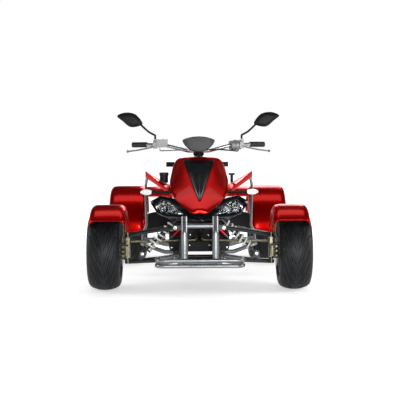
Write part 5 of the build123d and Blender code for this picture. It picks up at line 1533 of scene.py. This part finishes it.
class QUAD_OT_chain(bpy.types.Operator):
    """Builds the roller chain link by link and the toothed rear sprocket."""
    bl_idname = "quad.chain"
    bl_label = "Chain"

    def link(self, name, x_low, thickness, height):
        """A hidden link: two waisted plates and two rollers on their pins."""
        shape = bmesh.new()
        for side in NAMES:
            rows = []
            for x in (x_low, x_low + thickness):
                rows.append([
                    Vector((side * x, along, up * height / 2)) for along, up in (
                        (-12, 0), (-10.5, 0.75), (-8, 1), (-4, 0.78), (4, 0.78), (8, 1), (10.5, 0.75),
                        (12, 0), (10.5, -0.75), (8, -1), (4, -0.78), (-4, -0.78), (-8, -1),
                        (-10.5, -0.75),
                    )
                ])
            plate = skin(rows, closed=True, caps=(True, True))
            plate.to_mesh(mesh := bpy.data.meshes.new("plate"))
            plate.free()
            shape.from_mesh(mesh)
            bpy.data.meshes.remove(mesh)
        for along in (-7.94, 7.94):
            lathe(
                shape, (-5.8, along, 0), (1, 0, 0),
                ((0, 2.4), (2.8, 2.4), (2.8, 4.6), (8.8, 4.6), (8.8, 2.4), (11.6, 2.4)), 10,
            )
        bmesh.ops.recalc_face_normals(shape, faces=shape.faces)
        return hidden_source(shape, name)

    def execute(self, context):
        line_x = 105
        front, rear = Vector((behind_y(680), 243.0)), Vector((behind_y(WHEELBASE), REAR_AXLE_Z))
        small, large = 32.0, 92.0  # radii round the two sprockets
        gap = rear - front
        base = math.atan2(gap.y, gap.x)
        lean = math.asin((large - small) / gap.length)
        upper, lower = base + math.pi / 2 + lean, base - math.pi / 2 - lean
        loop = []
        for k in range(17):
            angle = upper + (lower + 2 * math.pi - upper) * k / 16
            loop.append(front + Vector((math.cos(angle), math.sin(angle))) * small)
        for k in range(25):
            angle = lower + (upper - lower) * k / 24
            loop.append(rear + Vector((math.cos(angle), math.sin(angle))) * large)
        curve = bpy.data.curves.new("drive_chain_links", "CURVE")
        curve.dimensions = "3D"
        spline = curve.splines.new("POLY")
        spline.points.add(len(loop) - 1)
        for point, where in zip(spline.points, loop):
            point.co = (line_x / 1000, where.x / 1000, where.y / 1000, 1.0)
        spline.use_cyclic_u = True
        carrier = bpy.data.objects.new("drive_chain_links", curve)
        context.scene.collection.objects.link(carrier)
        inner = self.link("inner_link", 2.6, 1.6, 12.6)
        outer = self.link("outer_link", 4.3, 1.5, 13.4)
        length = sum((loop[(i + 1) % len(loop)] - loop[i]).length for i in range(len(loop)))
        count = 2 * round(length / CHAIN_PITCH / 2)
        attach(
            carrier, "links_along_a_curve", "oiled_steel", Count=count, Inner_link=inner, Outer_link=outer,
        )
        context.view_layer.update()
        evaluated = carrier.evaluated_get(context.evaluated_depsgraph_get())
        mesh = bpy.data.meshes.new_from_object(evaluated)
        for item in (carrier, inner, outer):
            bpy.data.objects.remove(item)
        chain = shaded(new_piece("drive_chain_links", mesh, "oiled_steel"), 35)
        settle_on(chain, "chassis", "chain_steel", "drive_chain")

        centre = at_mm(line_x, WHEELBASE, REAR_AXLE_Z)
        count = 36
        half = math.pi / count
        tooth = (
            # angle, radius
            (-half, 62), (-half, 83.5), (-half * 0.5, 84.2), (-half * 0.16, 87.8), (half * 0.16, 87.8),
            (half * 0.5, 84.2), (half, 83.5), (half, 62),
        )
        rows = [
            [
                centre + Vector((x, -radius * math.sin(angle), radius * math.cos(angle)))
                for angle, radius in tooth
            ]
            for x in (-2.4, 2.4)
        ]
        teeth = settle(skin(rows, closed=True, caps=(True, True)), "rear_sprocket_teeth", "ground_steel")
        grow(teeth, "ring_of_segments", "ground_steel", Count=count, Centre=centre / 1000)
        settle_on(teeth, "rear_wheels", "stainless")
        return {"FINISHED"}


class QUAD_OT_wheels(bpy.types.Operator):
    """Adds rolled rim lips and their screws to the wheels."""
    bl_idname = "quad.wheels"
    bl_label = "Wheel trim"

    def trim(self, name, centre, side, width, body):
        """The lip of a rim and its screws."""
        edge = width / 2 - 18 + 0.3
        shape = bmesh.new()
        axis = (side, 0, 0)
        lathe(
            shape, centre, axis,
            ((24.4, 121.8), (edge - 8, 121.6), (edge + 3, 120.6), (edge + 4.7, 122.5), (edge + 5, 128),
             (edge + 5, 134), (edge + 3.6, 138.4), (edge + 1.2, 138.9), (edge + 1, 127), (24.4, 126)),
            72, hollow=True,
        )
        settle_on(settle(shape, name + "_lip", "polished_aluminium", 25), body, "aluminium")
        face = centre + Vector((side * (edge + 4.6), 0, 0))
        screws = [(point, axis, 4.2) for point in ring_points(face, 129, 16)]
        fasteners(name + "_lip_screws", screws, "chromed_steel", body, "stainless")

    def execute(self, context):
        for side, word in NAMES.items():
            for end in ("front", "rear"):
                centre, body, width, _ = wheel(end, side)
                self.trim(f"{end}_wheel_{word}", centre, side, width, body)
        return {"FINISHED"}


class QUAD_OT_suspension(bpy.types.Operator):
    """Winds the springs and adds reservoir sleeves, adjuster rings, indicator backs and heel guards."""
    bl_idname = "quad.suspension"
    bl_label = "Suspension trim"

    def coil(self, shape, top, foot):
        """A thick spring wire wound between the two spring seats."""
        run = (foot - top).normalized()
        across = run.cross(Vector((0, 1, 0))).normalized()
        side = run.cross(across)
        steps = 20  # a turn
        low, high = SPRING_START + SPRING_WIRE, (foot - top).length - SPRING_END - SPRING_WIRE
        line = []
        for step in range(SPRING_TURNS * steps + 1):
            turn = 2 * math.pi * step / steps
            along = low + (high - low) * step / (SPRING_TURNS * steps)
            out = across * math.cos(turn) + side * math.sin(turn)
            line.append(top + run * along + out * SPRING_RADIUS)
        pipe(shape, line, SPRING_WIRE, sides=8)

    def sleeve(self, shape, top, run):
        """The two parts of the sleeve round a front damper's reservoir, inboard of it."""
        inboard = run.cross(Vector((0, 1, 0))).normalized()
        if inboard.x * top.x > 0:
            inboard = -inboard
        tank = top + run * 22 + inboard * (SPRING_RADIUS + 3.5 + 18 + 4)
        lathe(shape, tank + run * 6, run, ((0, 17), (0.6, 18.3), (60, 18.3), (60.6, 17)), 32)
        lathe(shape, tank - run * 0.4, run, ((0, 0), (0, 14), (3, 18.3), (5, 18.3), (5.4, 17)), 32)

    def execute(self, context):
        sleeves, rings, coils = bmesh.new(), bmesh.new(), bmesh.new()
        shocks = [
            [at_mm(side * x, behind, z) for x, behind, z in (SHOCK_TOP, SHOCK_FOOT)] for side in NAMES
        ]
        for top, foot in shocks + [[at_mm(*REAR_SHOCK_TOP), at_mm(*REAR_SHOCK_FOOT)]]:
            run = (foot - top).normalized()
            if top.x:
                self.sleeve(sleeves, top, run)
            lathe(rings, top + run * 41.5, run, ((0, 20), (0.5, 26.4), (5.5, 26.4), (6, 20)), 12)
            self.coil(coils, top, foot)
        settle_on(
            settle(coils, "spring_coils", "white_epoxy", 60),
            "chassis", "spring_white", "coil_springs",
        )
        backs = bmesh.new()
        for side in NAMES:
            box_shape(backs, at_mm(188 * side - 28.8, 1411.5, 638), at_mm(188 * side + 28.8, 1428, 672))
        housings = settle(backs, "rear_indicator_backs", "grained_polypropylene")
        rounded(housings, 3.0)
        settle_on(housings, "chassis", "black_plastic")
        settle_on(
            settle(sleeves, "reservoir_sleeves", "red_anodised_aluminium", 30),
            "chassis", "damper_steel",
        )
        settle_on(settle(rings, "adjuster_rings", "polished_aluminium", 30), "chassis", "aluminium")
        # From the inner to the outer edge: x, lower z, upper z
        guard_table = ((182, 268, 372), (205, 262, 380), (250, 258, 388), (300, 258, 384), (330, 264, 366))
        for side, word in NAMES.items():
            rows = []
            for x, low, high in guard_table:
                swell = 9 if x < 320 else 0
                rows.append([
                    at_mm(side * x, 655 + swell * math.sin(math.pi * share), low + (high - low) * share)
                    for share in (0, 0.12, 0.3, 0.5, 0.7, 0.88, 1)
                ])
            rows = rows if side < 0 else rows[::-1]
            guard = settle(skin(rows), f"heel_guard_{word}", "grained_polypropylene")
            walled(guard, 4.0, levels=1)
            settle_on(guard, "chassis", "black_plastic")
        screws = [
            (at_mm(side * x, 172.2, z), (0, -1, 0), 7.0)
            for side in NAMES for x, z in ((62, 262), (58, 228), (160, 440), (160, 216), (52, 288))
        ]
        fasteners("panel_screws", screws, "chromed_steel", "chassis", "stainless", kind="hex")
        return {"FINISHED"}


class QUAD_OT_fasteners(bpy.types.Operator):
    """Sets the bolts of the suspension, the callipers' caps and the wheel nuts."""
    bl_idname = "quad.fasteners"
    bl_label = "Fasteners"

    def nuts(self, end, side):
        """The nuts of a wheel."""
        face = wheel(end, side)[0] + Vector((side * 33, 0, 0))
        return [(point, (side, 0, 0), 8.0) for point in ring_points(face, 47, WHEEL_NUTS, 0.5)]

    def execute(self, context):
        ahead = (0, -1, 0)
        bolts = []
        for side in NAMES:
            for behind in (-55, 65):
                for x, z in ((135, 354), (140, 175)):
                    bolts.append((at_mm(side * x, behind - 27.5, z), ahead, 8.5))
            for (x, _, z), behind in ((SHOCK_FOOT, -9.5), (SHOCK_TOP, -9.8)):
                bolts.append((at_mm(side * x, behind, z), ahead, 8.0))
        fasteners("suspension_bolts", bolts, "chromed_steel", "chassis", "stainless", kind="hex")
        for side, word in NAMES.items():
            caps = [(at_mm(side * x, -112.2, z), ahead, size) for x, z, size in (
                (424, 204, 13.0), (424, 229, 13.0), (424, 254, 13.0), (441, 216, 4.5), (441, 242, 4.5),
            )]
            fasteners(f"calliper_caps_{word}", caps, "passivated_zinc", f"knuckle_{word}_body", "zinc")
            fasteners(
                f"front_wheel_nuts_{word}", self.nuts("front", side), "chromed_steel",
                f"front_wheel_{word}", "stainless", kind="hex",
            )
        nuts = [nut for side in NAMES for nut in self.nuts("rear", side)]
        fasteners("rear_wheel_nuts", nuts, "chromed_steel", "rear_wheels", "stainless", kind="hex")
        return {"FINISHED"}


class QUAD_OT_stage(bpy.types.Operator):
    """Builds the pale floor, the soft lights and the camera."""
    bl_idname = "quad.stage"
    bl_label = "Stage"

    def seen(self, tree, mirrored_share=1.0):
        """One where a ray comes from the camera or clear glass, and a share in mirror-like surfaces."""
        path = add_node(tree, "ShaderNodeLightPath")
        direct = add_node(
            tree, "ShaderNodeMath",
            {0: path.outputs["Is Camera Ray"], 1: path.outputs["Is Transmission Ray"]},
            operation="MAXIMUM",
        )
        glossy = add_node(
            tree, "ShaderNodeMath", {0: path.outputs["Is Glossy Ray"], 1: mirrored_share},
            operation="MULTIPLY",
        )
        return add_node(
            tree, "ShaderNodeMath", {0: direct.outputs["Value"], 1: glossy.outputs["Value"]},
            operation="MAXIMUM",
        ).outputs["Value"]

    def execute(self, context):
        scene = bpy.context.scene
        mesh = bpy.data.meshes.new("studio_floor")
        edge = 30  # metres
        corners = [(-edge, -edge, 0), (edge, -edge, 0), (edge, edge, 0), (-edge, edge, 0)]
        mesh.from_pydata(corners, [], [(0, 1, 2, 3)])
        floor = bpy.data.objects.new("studio_floor", mesh)
        scene.collection.objects.link(floor)
        material = bpy.data.materials.new("painted_floor")
        material.use_nodes = True
        tree = material.node_tree
        tree.nodes.clear()
        # Matt white studio paint, lifted for the camera, so that it turns pure white round the shadow
        spot = add_node(
            tree, "ShaderNodeVectorMath", {0: add_node(tree, "ShaderNodeTexCoord").outputs["Object"]},
            operation="LENGTH",
        )
        reach = add_node(
            tree, "ShaderNodeMapRange",
            {"Value": spot.outputs["Value"], "From Min": 1.0, "From Max": 2.6, "To Min": 0.5, "To Max": 1.0},
        )
        paint = add_node(tree, "ShaderNodeBsdfDiffuse", {"Color": (*quad_settings().floor_colour, 1.0)})
        glow = add_node(
            tree, "ShaderNodeMath", {0: self.seen(tree, 0.6), 1: reach.outputs["Result"]},
            operation="MULTIPLY",
        )
        lift = add_node(tree, "ShaderNodeEmission", {"Strength": glow.outputs["Value"]})
        total = add_node(tree, "ShaderNodeAddShader", {0: paint.outputs["BSDF"], 1: lift.outputs["Emission"]})
        add_node(tree, "ShaderNodeOutputMaterial", {"Surface": total.outputs["Shader"]})
        mesh.materials.append(material)

        world = bpy.data.worlds.new("studio")
        scene.world = world
        world.use_nodes = True
        tree = world.node_tree
        tree.nodes.clear()
        direction = add_node(
            tree, "ShaderNodeSeparateXYZ",
            {"Vector": add_node(tree, "ShaderNodeTexCoord").outputs["Generated"]},
        )
        # White round the horizon, and a dark studio ceiling that keeps glossy tops deep
        ceiling = add_node(
            tree, "ShaderNodeMapRange",
            {
                "Value": direction.outputs["Z"], "From Min": 0.0, "From Max": 0.3, "To Min": 0.9,
                "To Max": 0.04,
            },
        )
        lit = add_node(
            tree, "ShaderNodeMapRange",
            {"Value": self.seen(tree), "To Min": 0.34, "To Max": ceiling.outputs["Result"]},
        )
        camera_ray = add_node(tree, "ShaderNodeLightPath").outputs["Is Camera Ray"]
        strength = add_node(
            tree, "ShaderNodeMapRange", {"Value": camera_ray, "To Min": lit.outputs["Result"], "To Max": 1.0},
        )
        sky = add_node(
            tree, "ShaderNodeBackground", {"Color": (1, 1, 1, 1), "Strength": strength.outputs["Result"]},
        )
        add_node(tree, "ShaderNodeOutputWorld", {"Surface": sky.outputs["Background"]})

        lamps = (
            # name, place, width, height, watts, aimed at
            ("overhead_softbox", (0.0, 0.6, 3.4), 3.0, 1.2, 18, (0, 0, 0.4)),
            ("front_softbox", (0.7, -4.6, 0.75), 2.0, 0.9, 85, (0, -0.4, 0.4)),
            ("left_softbox", (3.6, -1.2, 1.8), 1.4, 1.6, 60, (0, 0, 0.4)),
            ("right_softbox", (-3.6, -0.6, 1.8), 1.4, 1.6, 40, (0, 0, 0.4)),
            ("rear_softbox", (0.6, 4.2, 2.0), 2.0, 1.2, 50, (0, 0, 0.4)),
        )
        for name, where, width, height, watts, target in lamps:
            data = bpy.data.lights.new(name, "AREA")
            data.shape = "RECTANGLE"
            data.size = width
            data.size_y = height
            data.energy = watts
            lamp = bpy.data.objects.new(name, data)
            scene.collection.objects.link(lamp)
            lamp.location = where
            lamp.rotation_euler = (Vector(target) - Vector(where)).to_track_quat("-Z", "Y").to_euler()

        data = bpy.data.cameras.new("photo_camera")
        data.sensor_width = SENSOR_MM
        data.lens = SENSOR_MM * FOCAL_PIXELS / PHOTO_PIXELS
        data.clip_end = 100
        camera = bpy.data.objects.new("photo_camera", data)
        scene.collection.objects.link(camera)
        camera.location = (CAMERA_X, FRONT_AXLE_Y / 1000 - CAMERA_AHEAD, CAMERA_Z)
        pan = math.atan((OFF_CENTRE * CAMERA_AHEAD - CAMERA_X) / CAMERA_AHEAD)
        camera.rotation_euler = (math.radians(90 - CAMERA_TILT), math.radians(CAMERA_ROLL), -pan)
        scene.camera = camera
        scene.view_settings.view_transform = "Standard"
        return {"FINISHED"}


OPERATORS = (
    QUAD_OT_finishes, QUAD_OT_tyres, QUAD_OT_fenders, QUAD_OT_bodywork, QUAD_OT_headlamps, QUAD_OT_seat,
    QUAD_OT_cockpit, QUAD_OT_engine, QUAD_OT_exhaust, QUAD_OT_chain, QUAD_OT_wheels,
    QUAD_OT_suspension, QUAD_OT_fasteners, QUAD_OT_stage,
)


class QUAD_PT_panel(bpy.types.Panel):
    """Lists the quad bike's pieces and their sizes."""
    bl_idname = "QUAD_PT_panel"
    bl_label = "Quad bike"
    bl_space_type = "VIEW_3D"
    bl_region_type = "UI"
    bl_category = "Quad bike"

    def draw(self, context):
        settings = context.scene.quad_settings
        for name in QuadSettings.__annotations__:
            self.layout.prop(settings, name)
        for operator in OPERATORS:
            self.layout.operator(operator.bl_idname)


CLASSES = (QuadSettings, *OPERATORS, QUAD_PT_panel)


def register():
    for item in CLASSES:
        bpy.utils.register_class(item)
    bpy.types.Scene.quad_settings = PointerProperty(type=QuadSettings)


def unregister():
    del bpy.types.Scene.quad_settings
    for item in reversed(CLASSES):
        bpy.utils.unregister_class(item)


def main():
    """Builds every piece in order."""
    register()
    for operator in OPERATORS:
        group, name = operator.bl_idname.split(".")
        getattr(getattr(bpy.ops, group), name)()


if __name__ == "__main__":
    main()
